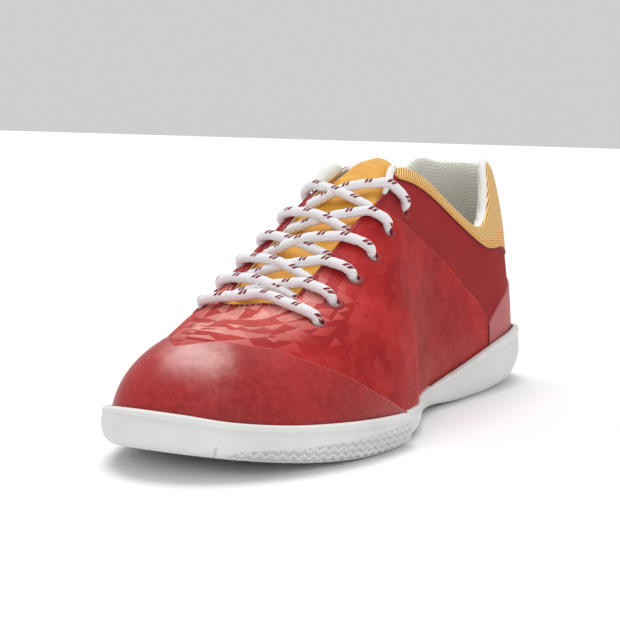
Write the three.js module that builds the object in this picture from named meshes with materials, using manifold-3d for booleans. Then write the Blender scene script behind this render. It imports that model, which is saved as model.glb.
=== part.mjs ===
// One indoor court shoe, for the left foot, standing on its sole.
// Millimetres, +Z up, toe towards -Y, heel towards +Y, outer (lateral) side towards +X.
// Every piece is worked out from the same closed row of sections round the foot. A place on the upper
// is a turn and a climb: the turn runs from the toe tip (0) along the lateral side to the back of the
// heel (13) and home along the medial side (26), and the climb runs from the sole (0) to the ridge (1).

import * as THREE from 'three';
import Module from 'manifold-3d';

const wasm = await Module();
wasm.setup();

// Driving dimensions
const soleLength = 293;
const ballWidth = 104;
const instepHeight = 118;
const heelWallHeight = 26;
const toeSpring = 11;
const archLift = 1.8;
const footbedHeight = 7;
const lipWidth = 3.3;
const upperWall = 2;
const collarPad = 7;
const tonguePad = 4;
const insoleThickness = 4;
const filmThickness = 0.7;
const laceDiameter = 4.2;
const eyeletDiameter = 4.8;
const fitGap = 0.3;
const facetSag = 0.38;
const ribPitch = 12;
const ribGroove = 5;
const treadDepth = 1.5;
const sideGrooveDepth = 1;

// Where the profile starts to bend, as shares of the sole's length from the heel
const springStart = 0.7;
const archStart = 0.3;
const archEnd = 0.56;

// Sections from the toe tip to the back of the heel.
// along, ridgeAlong: shares of soleLength. lateral, medial, ridgeSide: shares of ballWidth.
// ridgeHeight: share of instepHeight; behind the instep it is where the section would close over a foot.
// fullLateral, fullMedial: how square the section is, 2 being an ellipse. wall: share of heelWallHeight.
// rim, band: climbs of the upper's top edge and of the collar's lower edge.
const sectionColumns = [
  'along', 'lateral', 'medial', 'ridgeAlong', 'ridgeSide', 'ridgeHeight', 'fullLateral', 'fullMedial',
  'wall', 'rimLateral', 'rimMedial', 'bandLateral', 'bandMedial',
];
const sections = [
  [1.000, -0.100, -0.100, 0.800, -0.085, 0.424, 2.20, 2.20, 0.95, 0.865, 0.78, 0.88, 0.88],
  [0.986, 0.057, -0.242, 0.793, -0.083, 0.423, 2.15, 2.15, 0.91, 0.865, 0.78, 0.88, 0.88],
  [0.946, 0.205, -0.347, 0.775, -0.080, 0.422, 2.15, 2.15, 0.79, 0.865, 0.78, 0.88, 0.88],
  [0.876, 0.342, -0.432, 0.744, -0.075, 0.433, 2.15, 2.20, 0.68, 0.865, 0.78, 0.88, 0.88],
  [0.780, 0.445, -0.492, 0.698, -0.070, 0.484, 2.15, 2.40, 0.60, 0.865, 0.78, 0.88, 0.88],
  [0.671, 0.481, -0.491, 0.633, -0.060, 0.591, 2.18, 2.70, 0.52, 0.855, 0.78, 0.88, 0.88],
  [0.573, 0.444, -0.423, 0.559, -0.050, 0.734, 2.25, 2.85, 0.455, 0.815, 0.82, 0.88, 0.88],
  [0.496, 0.362, -0.337, 0.485, -0.040, 0.873, 2.28, 2.70, 0.43, 0.722, 0.82, 0.83, 0.85],
  [0.416, 0.311, -0.293, 0.406, -0.030, 0.951, 2.30, 2.50, 0.455, 0.780, 0.76, 0.67, 0.68],
  [0.316, 0.324, -0.298, 0.317, -0.015, 1.020, 2.40, 2.40, 0.63, 0.488, 0.60, 0.431, 0.48],
  [0.218, 0.350, -0.327, 0.243, -0.005, 1.095, 2.30, 2.30, 0.86, 0.366, 0.50, 0.303, 0.385],
  [0.117, 0.347, -0.337, 0.178, 0.000, 1.190, 1.85, 1.95, 1.02, 0.555, 0.551, 0.316, 0.368],
  [0.038, 0.250, -0.238, 0.134, 0.000, 1.260, 1.70, 1.80, 1.00, 0.527, 0.518, 0.292, 0.34],
  [0.000, 0.000, 0.000, 0.119, 0.000, 1.280, 1.85, 1.85, 0.95, 0.502, 0.502, 0.272, 0.272],
];

// Rows of the throat and the collar on that table
const throatRow = 3.6;
const throatCorner = 0.45;
const collarRow = 7.78;
const collarStep = 0.04;

// Eyelets from the toe end up: section row and climb on each side
const eyeletColumns = ['rowLateral', 'climbLateral', 'rowMedial', 'climbMedial'];
const eyelets = [
  [4.06, 0.64, 4.26, 0.58],
  [4.57, 0.668, 4.71, 0.607],
  [5.19, 0.667, 5.19, 0.636],
  [5.79, 0.64, 5.66, 0.656],
  [6.54, 0.607, 6.16, 0.67],
  [7.51, 0.565, 6.81, 0.66],
];

// Section of the padded collar, from its lower edge up the outside, over the top and down the inside:
// share of the band's height, and share of the pad's thickness outwards from the upper's form
const collarSection = [
  [0, -0.02], [0.22, 0], [0.55, 0.02], [0.85, -0.06], [1, -0.32], [1, -0.68],
  [0.85, -0.97], [0.55, -1.05], [0.22, -0.85], [0, -0.34],
];

// Side wall of the sole from the tread's edge up and over the lip: share of the wall's height, and how
// far it stands inside the outline, at the forefoot and at the heel, as shares of heelWallHeight
const wallColumns = ['height', 'inFront', 'inHeel'];
const wallProfile = [
  [0, 0.154, 0.346], [0.08, 0.073, 0.2], [0.22, 0.023, 0.077], [0.5, -0.012, -0.015],
  [0.8, -0.008, -0.008], [0.96, 0.004, 0.004], [1, 0.035, 0.035], [1, 0.096, 0.096],
];

// Top edges of the smooth toe panel and of the heel patch: section row and climb
const toePanelEdge = [
  [0, 0.585], [1, 0.638], [1.5, 0.656], [2, 0.644], [2.75, 0.585], [3.25, 0.475], [3.9, 0.322], [4.4, 0.194],
  [4.73, 0.125], [5, 0.078],
];
const heelPatchEdge = [[10.03, 0.1], [10.85, 0.19], [11.9, 0.237], [13, 0.257]];

const columnsPerRow = 2;
const columnsPerRoundRow = 3;
const roundToeRows = 3;
const roundHeelRow = 11;
const climbSteps = 8;
const heelRow = sections.length - 1;
const ringRows = 2 * heelRow;

function named(columns, row) {
  return Object.fromEntries(columns.map((name, k) => [name, row[k]]));
}

function ringStation(row, side) {
  const s = named(sectionColumns, row);
  return {
    along: s.along * soleLength,
    side: s[side.toLowerCase()] * ballWidth,
    ridgeAlong: s.ridgeAlong * soleLength,
    ridgeSide: s.ridgeSide * ballWidth,
    ridgeHeight: s.ridgeHeight * instepHeight,
    full: s['full' + side],
    wall: s.wall * heelWallHeight,
    rim: s['rim' + side],
    band: s['band' + side],
  };
}

const ring = [
  ...sections.map((row) => ringStation(row, 'Lateral')),
  ...sections.slice(1, heelRow).reverse().map((row) => ringStation(row, 'Medial')),
];

// How steeply the ridge climbs at each station; it is level at both of its ends
ring.forEach((here, k) => {
  const last = ring[(k + ringRows - 1) % ringRows];
  const next = ring[(k + 1) % ringRows];
  const level = k % heelRow === 0;
  here.ridgeSlope = level ? 0 : (next.ridgeHeight - last.ridgeHeight) / (next.ridgeAlong - last.ridgeAlong);
});

// Smooth closed curve through the ring's stations
function station(turn) {
  const first = Math.floor(turn);
  const t = turn - first;
  const near = [-1, 0, 1, 2].map((k) => ring[(first + k + 2 * ringRows) % ringRows]);
  const value = {};
  for (const name of Object.keys(ring[0])) {
    const [a, b, c, d] = near.map((row) => row[name]);
    const bend = (2 * a - 5 * b + 4 * c - d) * t * t + (3 * b - a - 3 * c + d) * t * t * t;
    value[name] = 0.5 * (2 * b + (c - a) * t + bend);
  }
  return value;
}

function rowOf(turn) {
  const wrapped = ((turn % ringRows) + ringRows) % ringRows;
  return Math.round(Math.min(wrapped, ringRows - wrapped) * 1e6) / 1e6;
}

function smooth(t) {
  const x = Math.min(1, Math.max(0, t));
  return x * x * (3 - 2 * x);
}

// Piecewise straight reading of a two-column table
function readTable(table, x) {
  for (let k = 1; k < table.length; k += 1) {
    if (x <= table[k][0] || k === table.length - 1) {
      const [x0, y0] = table[k - 1];
      const [x1, y1] = table[k];
      return y0 + (y1 - y0) * Math.min(1, Math.max(0, (x - x0) / (x1 - x0)));
    }
  }
  return table[0][1];
}

// Height of the tread above the floor: flat under heel and ball, lifted at the arch and the toe
function ground(along) {
  const share = along / soleLength;
  const spring = Math.max(0, (share - springStart) / (1 - springStart));
  const arch = Math.max(0, Math.sin((Math.PI * (share - archStart)) / (archEnd - archStart)));
  const inArch = share > archStart && share < archEnd;
  return toeSpring * spring * spring + (inArch ? archLift * arch * arch : 0);
}

// Outline of the sole at a turn, moved inwards; gives [along, side]
function outline(turn, inset) {
  const here = station(turn);
  const next = station(turn + 0.001);
  const last = station(turn - 0.001);
  const dAlong = next.along - last.along;
  const dSide = next.side - last.side;
  const run = Math.hypot(dAlong, dSide);
  return [here.along - (inset * dSide) / run, here.side + (inset * dAlong) / run];
}

function place(along, side, height) {
  return new THREE.Vector3(side, soleLength / 2 - along, height);
}

// The upper's outer form; both sides share the points of the ridge, and near it they lean with its slope
function form(turn, climb) {
  if (climb >= 1) {
    const { ridgeAlong, ridgeSide, ridgeHeight } = station(rowOf(turn));
    return place(ridgeAlong, ridgeSide, ridgeHeight);
  }
  const s = station(turn);
  const [along, side] = outline(turn, lipWidth + fitGap);
  const base = ground(along) + footbedHeight + fitGap;
  const angle = (climb * Math.PI) / 2;
  const reach = Math.cos(angle) ** (2 / s.full);
  const rise = Math.sin(angle) ** (2 / s.full);
  const ahead = (along - s.ridgeAlong) * reach;
  const lean = s.ridgeSlope * ahead * (1 - reach) ** 3;
  return place(
    s.ridgeAlong + ahead,
    s.ridgeSide + (side - s.ridgeSide) * reach,
    base + (s.ridgeHeight - base) * rise + lean,
  );
}

// Climb at which the form stands at a height
function climbAt(turn, height) {
  const s = station(turn);
  const [along] = outline(turn, lipWidth + fitGap);
  const base = ground(along) + footbedHeight + fitGap;
  const rise = Math.min(1, Math.max(0, (height - base) / (s.ridgeHeight - base)));
  return (Math.asin(rise ** (s.full / 2)) * 2) / Math.PI;
}

function outward(turn, climb) {
  const step = 0.004;
  const alongTurn = form(turn + step, climb).sub(form(turn - step, climb));
  const alongClimb = form(turn, Math.min(1, climb + step)).sub(form(turn, climb - step));
  return alongTurn.cross(alongClimb).normalize();
}

function above(turn, climb, lift) {
  return form(turn, climb).addScaledVector(outward(turn, climb), lift);
}

// A point across the ridge: reach is 0 on the ridge, positive on the lateral side, negative on the medial
function across(row, reach, lift) {
  return above(reach >= 0 ? row : ringRows - row, 1 - Math.abs(reach), lift);
}

function climbFor(turn, length) {
  const step = 0.01;
  const climb = station(turn).band;
  return (length * step) / form(turn, climb).distanceTo(form(turn, climb - step));
}

// Climb of the upper's own top edge: closed over the toes, then the throat, then under the collar
function upperEdge(turn) {
  const row = rowOf(turn);
  const { rim, band } = station(turn);
  if (row <= throatRow) return 1;
  if (row >= collarRow) return band - climbFor(turn, fitGap);
  return 1 + (rim - 1) * smooth((row - throatRow) / throatCorner);
}

// Turns of the mesh columns: even steps, with more where the throat and the collar begin
function meshTurns() {
  const rows = [];
  for (let row = 0; row < heelRow; row += 1) {
    const round = row < roundToeRows || row >= roundHeelRow;
    const count = round ? columnsPerRoundRow : columnsPerRow;
    for (let k = 0; k < count; k += 1) rows.push(row + k / count);
  }
  rows.push(heelRow);
  for (const share of [0, 0.3, 0.6, 1]) rows.push(throatRow + share * throatCorner);
  rows.push(collarRow - collarStep, collarRow);
  const near = 0.03;
  rows.sort((a, b) => a - b);
  const kept = rows.filter((row, k) => k === 0 || row - rows[k - 1] > near);
  const back = kept.slice(1, -1).reverse().map((row) => ringRows - row);
  return [...kept, ...back];
}

// A surface of shared points, from which shells are made
class Skin {
  constructor() {
    this.points = [];
    this.faces = [];
    this.known = new Map();
  }

  add(point) {
    const key = point.toArray().map((x) => Math.round(x * 1000)).join();
    if (!this.known.has(key)) {
      this.known.set(key, this.points.length);
      this.points.push(point);
    }
    return this.known.get(key);
  }

  face(a, b, c) {
    if (a !== b && b !== c && a !== c) this.faces.push([a, b, c]);
  }

  // Rows of points, neighbours joined by two triangles
  grid(rows, closed) {
    const ids = rows.map((row) => row.map((point) => this.add(point)));
    const count = closed ? ids.length : ids.length - 1;
    for (let i = 0; i < count; i += 1) {
      const here = ids[i];
      const next = ids[(i + 1) % ids.length];
      for (let j = 0; j + 1 < here.length; j += 1) {
        this.face(here[j], next[j], next[j + 1]);
        this.face(here[j], next[j + 1], here[j + 1]);
      }
    }
    return ids;
  }

  // Closes a ring of points to one of its own
  fan(ids) {
    for (let k = 1; k + 1 < ids.length; k += 1) this.face(ids[0], ids[k], ids[k + 1]);
  }

  normals() {
    const sums = this.points.map(() => new THREE.Vector3());
    for (const [a, b, c] of this.faces) {
      const p = this.points[a];
      const turn = this.points[b].clone().sub(p).cross(this.points[c].clone().sub(p));
      for (const k of [a, b, c]) sums[k].add(turn);
    }
    return sums.map((sum) => sum.normalize());
  }

  // Closed solid between two lifts of the surface
  shell(low, high) {
    const normals = this.normals();
    const count = this.points.length;
    const solid = new Skin();
    const lifted = (lift) => this.points.map((p, k) => {
      const amount = typeof lift === 'function' ? lift(p) : lift;
      return p.clone().addScaledVector(normals[k], amount);
    });
    solid.points = [...lifted(high), ...lifted(low)];
    const open = new Set(this.faces.flatMap(([a, b, c]) => [`${a},${b}`, `${b},${c}`, `${c},${a}`]));
    for (const [a, b, c] of this.faces) {
      solid.face(a, b, c);
      solid.face(a + count, c + count, b + count);
    }
    for (const edge of open) {
      const [a, b] = edge.split(',').map(Number);
      if (!open.has(`${b},${a}`)) {
        solid.face(b, a, a + count);
        solid.face(b, a + count, b + count);
      }
    }
    return solid;
  }

  solid() {
    const mesh = new wasm.Mesh({
      numProp: 3,
      vertProperties: new Float32Array(this.points.flatMap((p) => p.toArray())),
      triVerts: new Uint32Array(this.faces.flat()),
    });
    mesh.merge();
    const made = new wasm.Manifold(mesh);
    if (made.volume() > 0) return made;
    const turned = new Skin();
    turned.points = this.points;
    turned.faces = this.faces.map(([a, b, c]) => [a, c, b]);
    return turned.solid();
  }
}

// A solid from one of three's own closed geometries
function solidOf(geometry) {
  const skin = new Skin();
  const flat = geometry.index ? geometry.toNonIndexed() : geometry;
  const position = flat.getAttribute('position');
  for (let k = 0; k < position.count; k += 3) {
    const ids = [0, 1, 2].map((j) => skin.add(new THREE.Vector3().fromBufferAttribute(position, k + j)));
    skin.face(...ids);
  }
  return skin.solid();
}

function geometryOf(solid) {
  const { vertProperties, triVerts, numProp } = solid.getMesh();
  const geometry = new THREE.BufferGeometry();
  const position = new Float32Array((vertProperties.length / numProp) * 3);
  for (let k = 0; k < position.length / 3; k += 1) {
    for (let j = 0; j < 3; j += 1) position[3 * k + j] = vertProperties[numProp * k + j];
  }
  geometry.setAttribute('position', new THREE.BufferAttribute(position, 3));
  geometry.setIndex(new THREE.BufferAttribute(new Uint32Array(triVerts), 1));
  geometry.computeVertexNormals();
  return geometry;
}

function join(solids) {
  return solids.reduce((sum, solid) => sum.add(solid));
}

function eyeletPlaces() {
  return eyelets.map((row) => {
    const e = named(eyeletColumns, row);
    return {
      lateral: { row: e.rowLateral, reach: 1 - e.climbLateral },
      medial: { row: e.rowMedial, reach: e.climbMedial - 1 },
    };
  });
}

// A round bar that stands through the upper at an eyelet
function eyeletPunch({ row, reach }) {
  const depth = 6 * upperWall;
  const bar = new THREE.CylinderGeometry(eyeletDiameter / 2, eyeletDiameter / 2, depth, 8);
  const middle = across(row, reach, 0);
  const along = across(row, reach, 1).sub(middle);
  bar.applyQuaternion(new THREE.Quaternion().setFromUnitVectors(new THREE.Vector3(0, 1, 0), along));
  bar.translate(...middle.toArray());
  return solidOf(bar);
}

function makeUpper() {
  const skin = new Skin();
  const rows = meshTurns().map((turn) => {
    const edge = upperEdge(turn);
    return Array.from({ length: climbSteps + 1 }, (_, j) => form(turn, (edge * j) / climbSteps));
  });
  skin.grid(rows, true);
  const holes = eyeletPlaces().flatMap(({ lateral, medial }) => [lateral, medial]);
  return skin.shell(-upperWall, 0).solid().subtract(join(holes.map(eyeletPunch)));
}

function makeCollar() {
  const front = collarRow + collarStep;
  const inner = meshTurns().filter((turn) => rowOf(turn) > front + collarStep);
  const turns = [front, ...inner, ringRows - front];
  const skin = new Skin();
  const rows = turns.map((turn) => {
    const { rim, band } = station(turn);
    return collarSection.map(([up, out]) => above(turn, band + (rim - band) * up, out * collarPad));
  });
  const ids = skin.grid(rows.map((row) => [...row, row[0]]), false);
  skin.fan(ids[0].slice(0, -1));
  skin.fan(ids.at(-1).slice(0, -1).reverse());
  return skin.solid();
}

// Tongue from under the vamp to above the throat, its top corners rounded
const tongueFront = 3.1;
const tongueTop = 8.05;
const tongueColumns = ['row', 'lateral', 'medial'];
const tongueWidths = [
  [3.1, 0.2, 0.2], [3.5, 0.28, 0.3], [5, 0.3, 0.34], [6.8, 0.3, 0.3], [7.35, 0.215, 0.22],
  [7.8, 0.2, 0.2], [8.0, 0.15, 0.15], [8.05, 0.1, 0.1],
];

function makeTongue() {
  const skin = new Skin();
  const steps = 12;
  const half = 4;
  const widths = (name) => tongueWidths.map((row) => {
    const r = named(tongueColumns, row);
    return [r.row, r[name]];
  });
  const rows = Array.from({ length: steps + 1 }, (_, k) => {
    const share = k / steps;
    const row = tongueFront + (tongueTop - tongueFront) * Math.sin((share * Math.PI) / 2) ** 0.8;
    const reaches = [];
    for (let j = half; j >= -half; j -= 1) {
      const width = readTable(widths(j < 0 ? 'medial' : 'lateral'), row);
      reaches.push((width * j) / half);
    }
    return reaches.map((reach) => across(row, reach, 0));
  });
  skin.grid(rows, false);
  const top = upperWall + fitGap + facetSag;
  return skin.shell(-(top + tonguePad), -top).solid();
}

// Points between the foot's middle line and the outline, on a surface that follows the tread
function floorRow(turn, inset, height, shares) {
  const [along, side] = outline(turn, inset);
  const s = station(rowOf(turn));
  return shares.map((share) => {
    const a = s.ridgeAlong + (along - s.ridgeAlong) * share;
    const b = s.ridgeSide + (side - s.ridgeSide) * share;
    return place(a, b, ground(a) + height);
  });
}

function makeInsole() {
  const skin = new Skin();
  const inset = lipWidth + upperWall + 3 * fitGap;
  const low = footbedHeight + fitGap;
  const rows = meshTurns().map((turn) => [
    ...floorRow(turn, inset, low, [0, 1]),
    ...floorRow(turn, inset, low + insoleThickness, [1, 0]),
  ]);
  skin.grid(rows, true);
  return skin.solid();
}

function wallRow(turn) {
  const s = station(turn);
  const heel = smooth(1 - (s.along / soleLength) / archStart);
  return wallProfile.map((row) => {
    const level = named(wallColumns, row);
    const inset = (level.inFront + (level.inHeel - level.inFront) * heel) * heelWallHeight;
    const [along, side] = outline(turn, inset);
    const floor = ground(along);
    return place(along, side, floor + (s.wall - floor) * level.height);
  });
}

// Half widths of the sole where it crosses a place along it, as [medial, lateral]
function crossing(along, inset) {
  const sides = [];
  const steps = 40 * ringRows;
  for (let k = 0; k < steps; k += 1) {
    const [a0, b0] = outline((k * ringRows) / steps, inset);
    const [a1, b1] = outline(((k + 1) * ringRows) / steps, inset);
    if ((a0 - along) * (a1 - along) < 0) sides.push(b0 + ((b1 - b0) * (along - a0)) / (a1 - a0));
  }
  return [Math.min(...sides), Math.max(...sides)];
}

// The line that parts the ribbed tread from the zigzag tread of the lateral forefoot
const zigzagStart = 0.55;
const zigzagEnd = 0.86;
const zigzagRoom = 0.03;
const zigzagInner = 0.06;
const zigzagRows = 4;
const zigzagPitch = 8.5;
const zigzagGroove = 3;
const zigzagTooth = 6;
const treadMargin = 9;

function ribGrooves() {
  const cuts = [];
  const first = 0.05 * soleLength;
  const last = 0.93 * soleLength;
  for (let along = first; along < last; along += ribPitch) {
    const [medial, lateral] = crossing(along, treadMargin);
    const share = along / soleLength;
    const beside = share > zigzagStart - zigzagRoom && share < zigzagEnd + zigzagRoom;
    const end = beside ? zigzagInner * ballWidth - zigzagGroove : lateral;
    const top = ground(along) + treadDepth;
    const box = new THREE.BoxGeometry(end - medial, ribGroove, 2 * top);
    box.translate((end + medial) / 2, soleLength / 2 - along, 0);
    cuts.push(solidOf(box));
  }
  return cuts;
}

function zigzagGrooves() {
  const cuts = [];
  for (let line = 0; line < zigzagRows; line += 1) {
    const start = zigzagInner * ballWidth + line * zigzagPitch;
    const near = [];
    const far = [];
    let tooth = 0;
    for (let along = zigzagStart * soleLength; along < zigzagEnd * soleLength; along += zigzagTooth) {
      const [, lateral] = crossing(along, treadMargin);
      if (start + zigzagPitch / 2 < lateral) {
        const side = start + (tooth % 2) * (zigzagPitch / 3);
        near.push(new THREE.Vector2(side, soleLength / 2 - along));
        far.unshift(new THREE.Vector2(side + zigzagGroove, soleLength / 2 - along));
      }
      tooth += 1;
    }
    const shape = new THREE.Shape([...near, ...far]);
    const depth = 4 * treadDepth;
    const bar = new THREE.ExtrudeGeometry(shape, { depth, bevelEnabled: false });
    bar.translate(0, 0, treadDepth - depth);
    cuts.push(solidOf(bar));
  }
  return cuts;
}

// A zigzag groove moulded into the lower half of the lateral side wall, its tips at two shares of its height
const sideZigzagFirst = 3.2;
const sideZigzagLast = 5.1;
const sideZigzagCount = 12;
const sideZigzagLow = 0.27;
const sideZigzagHigh = 0.6;
const sideZigzagWidth = 1.75;

function sideGrooves() {
  const tips = Array.from({ length: sideZigzagCount + 1 }, (_, k) => {
    const turn = sideZigzagFirst + ((sideZigzagLast - sideZigzagFirst) * k) / sideZigzagCount;
    const [along, side] = outline(turn, 0);
    const floor = ground(along);
    const level = k % 2 ? sideZigzagHigh : sideZigzagLow;
    return place(along, side, floor + (station(turn).wall - floor) * level);
  });
  return tips.slice(1).map((tip, k) => {
    const run = tip.clone().sub(tips[k]);
    const out = new THREE.Vector3(run.y, -run.x, 0).normalize();
    const up = out.clone().cross(run).normalize();
    const bar = new THREE.BoxGeometry(4 * sideGrooveDepth, run.length() + sideZigzagWidth, sideZigzagWidth);
    bar.translate(sideGrooveDepth, 0, 0);
    bar.applyMatrix4(new THREE.Matrix4().makeBasis(out, run.clone().normalize(), up));
    bar.translate(...tip.clone().add(tips[k]).multiplyScalar(0.5).toArray());
    return solidOf(bar);
  });
}

function makeOutsole() {
  const skin = new Skin();
  const rows = meshTurns().map((turn) => [
    ...floorRow(turn, wallProfile[0][1] * heelWallHeight, 0, [0, 0.5]),
    ...wallRow(turn),
    ...floorRow(turn, lipWidth, footbedHeight, [1, 0.5, 0]),
  ]);
  skin.grid(rows, true);
  const cuts = [...ribGrooves(), ...zigzagGrooves(), ...sideGrooves()];
  return skin.solid().subtract(join(cuts));
}

// A thin film that lies on the upper between two turns, from the sole's lip up to the edge of a table
function makeFilm(first, last, edge, steps, climbs) {
  const skin = new Skin();
  const rows = Array.from({ length: steps + 1 }, (_, k) => {
    const turn = first + ((last - first) * k) / steps;
    const foot = climbAt(turn, station(turn).wall + 2 * fitGap);
    const top = readTable(edge, rowOf(turn));
    return Array.from({ length: climbs + 1 }, (__, j) => form(turn, foot + ((top - foot) * j) / climbs));
  });
  skin.grid(rows, false);
  return skin.shell(fitGap + facetSag, fitGap + facetSag + filmThickness).solid();
}

function makeToePanel() {
  const side = toePanelEdge.at(-1)[0];
  return makeFilm(ringRows - side, ringRows + side, toePanelEdge, 30, 7);
}

function makeHeelPatch() {
  const first = heelPatchEdge[0][0];
  return makeFilm(first, ringRows - first, heelPatchEdge, 28, 3);
}

// A lace run over the upper between two places, each with a row, a reach and a lift
const laceClear = 0.3;
const laceRise = 1.6;
const laceDive = 0.45;
const laceLift = laceDiameter / 2 + fitGap + laceClear;
const laceSteps = 8;

function laceRun(from, to, crest) {
  const path = [];
  for (let k = 0; k <= laceSteps; k += 1) {
    const t = k / laceSteps;
    const row = from.row + (to.row - from.row) * t;
    const reach = from.reach + (to.reach - from.reach) * t;
    const lift = from.lift + (to.lift - from.lift) * smooth(4 * t) + crest * Math.sin(Math.PI * t) ** 2;
    path.push(across(row, reach, lift));
  }
  const sides = 8;
  const section = new THREE.Shape(Array.from({ length: sides }, (_, k) => {
    const angle = ((k + 0.5) * 2 * Math.PI) / sides;
    return new THREE.Vector2(Math.cos(angle), Math.sin(angle)).multiplyScalar(laceDiameter / 2);
  }));
  const extrudePath = new THREE.CatmullRomCurve3(path);
  return solidOf(new THREE.ExtrudeGeometry(section, { steps: laceSteps, extrudePath }));
}

function onEyelet(eyelet) {
  return { ...eyelet, lift: laceLift };
}

// Where a run comes up from under the edge of the throat, on its way from one eyelet to another
function underEdge(from, to) {
  const turn = from.reach >= 0 ? from.row : ringRows - from.row;
  const clear = 0.045;
  const reach = Math.sign(from.reach) * (1 - upperEdge(turn) - clear);
  const row = from.row + ((to.row - from.row) * (reach - from.reach)) / (to.reach - from.reach);
  return { row, reach, lift: laceDive };
}

function makeLaceBar(places) {
  return laceRun(onEyelet(places[0].medial), onEyelet(places[0].lateral), 0);
}

function makeLaceCrossing(places, k) {
  const rise = k >= 4 && k % 2 === 0 ? [laceRise, 0] : [0, laceRise];
  const below = places[k - 1];
  const here = places[k];
  const toLateral = laceRun(underEdge(below.medial, here.lateral), onEyelet(here.lateral), rise[0]);
  const toMedial = laceRun(underEdge(below.lateral, here.medial), onEyelet(here.medial), rise[1]);
  return toLateral.add(toMedial);
}

// Colours as the shoe's, with how rough each surface is
const finishes = {
  rubber: { color: 0xe0e3df, roughness: 0.55 },
  red: { color: 0xa62a2f, roughness: 0.45 },
  film: { color: 0xb03a3c, roughness: 0.35 },
  orange: { color: 0xf0a832, roughness: 0.6 },
  lining: { color: 0xd8d8cc, roughness: 0.9 },
  lace: { color: 0xefeeec, roughness: 0.85 },
};

const shoe = new THREE.Group();

function addPiece(name, solid, finish) {
  const mesh = new THREE.Mesh(
    geometryOf(solid),
    new THREE.MeshStandardMaterial({ ...finishes[finish], metalness: 0 }),
  );
  mesh.name = name;
  shoe.add(mesh);
}

const places = eyeletPlaces();
addPiece('outsole', makeOutsole(), 'rubber');
addPiece('upper', makeUpper(), 'red');
addPiece('toe_panel', makeToePanel(), 'film');
addPiece('heel_patch', makeHeelPatch(), 'film');
addPiece('collar', makeCollar(), 'orange');
addPiece('tongue', makeTongue(), 'orange');
addPiece('insole', makeInsole(), 'lining');
addPiece('lace_bar', makeLaceBar(places), 'lace');
for (let k = 1; k < places.length; k += 1) {
  addPiece(`lace_crossing_${k}`, makeLaceCrossing(places, k), 'lace');
}

// The origin is on the floor under the middle of the shoe
const box = new THREE.Box3().setFromObject(shoe);
const middle = box.getCenter(new THREE.Vector3());
shoe.position.set(-middle.x, -middle.y, -box.min.z);

export default shoe;
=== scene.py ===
"""Looks of one indoor court shoe, the left one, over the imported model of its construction."""

import math

import bpy
import numpy as np
from mathutils import Matrix, Vector


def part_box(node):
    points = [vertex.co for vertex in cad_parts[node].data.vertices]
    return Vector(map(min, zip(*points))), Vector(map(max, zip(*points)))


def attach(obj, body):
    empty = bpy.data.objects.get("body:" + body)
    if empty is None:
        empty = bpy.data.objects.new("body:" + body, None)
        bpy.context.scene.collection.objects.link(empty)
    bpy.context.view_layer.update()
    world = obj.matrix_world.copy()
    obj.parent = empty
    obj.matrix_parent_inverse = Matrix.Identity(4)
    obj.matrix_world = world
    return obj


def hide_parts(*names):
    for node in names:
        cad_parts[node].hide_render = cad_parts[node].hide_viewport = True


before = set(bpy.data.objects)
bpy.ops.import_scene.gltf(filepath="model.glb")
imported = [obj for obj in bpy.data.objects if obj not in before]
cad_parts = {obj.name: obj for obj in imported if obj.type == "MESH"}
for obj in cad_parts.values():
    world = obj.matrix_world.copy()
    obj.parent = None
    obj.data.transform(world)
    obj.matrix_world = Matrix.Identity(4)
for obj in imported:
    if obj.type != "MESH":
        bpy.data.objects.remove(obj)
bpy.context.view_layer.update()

MM = 0.001

# Sizes of the shoe, as in the construction
SOLE_LENGTH = 293 * MM
BALL_WIDTH = 104 * MM
INSTEP_HEIGHT = 118 * MM
HEEL_WALL = 26 * MM
TOE_SPRING = 11 * MM
ARCH_LIFT = 1.8 * MM
FOOTBED = 7 * MM
LIP = 3.3 * MM
UPPER_WALL = 2 * MM
COLLAR_PAD = 7 * MM
LACE = 4.3 * MM
EYELET = 4.8 * MM
FIT_GAP = 0.3 * MM
SPRING_START, ARCH_START, ARCH_END = 0.7, 0.3, 0.56

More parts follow.
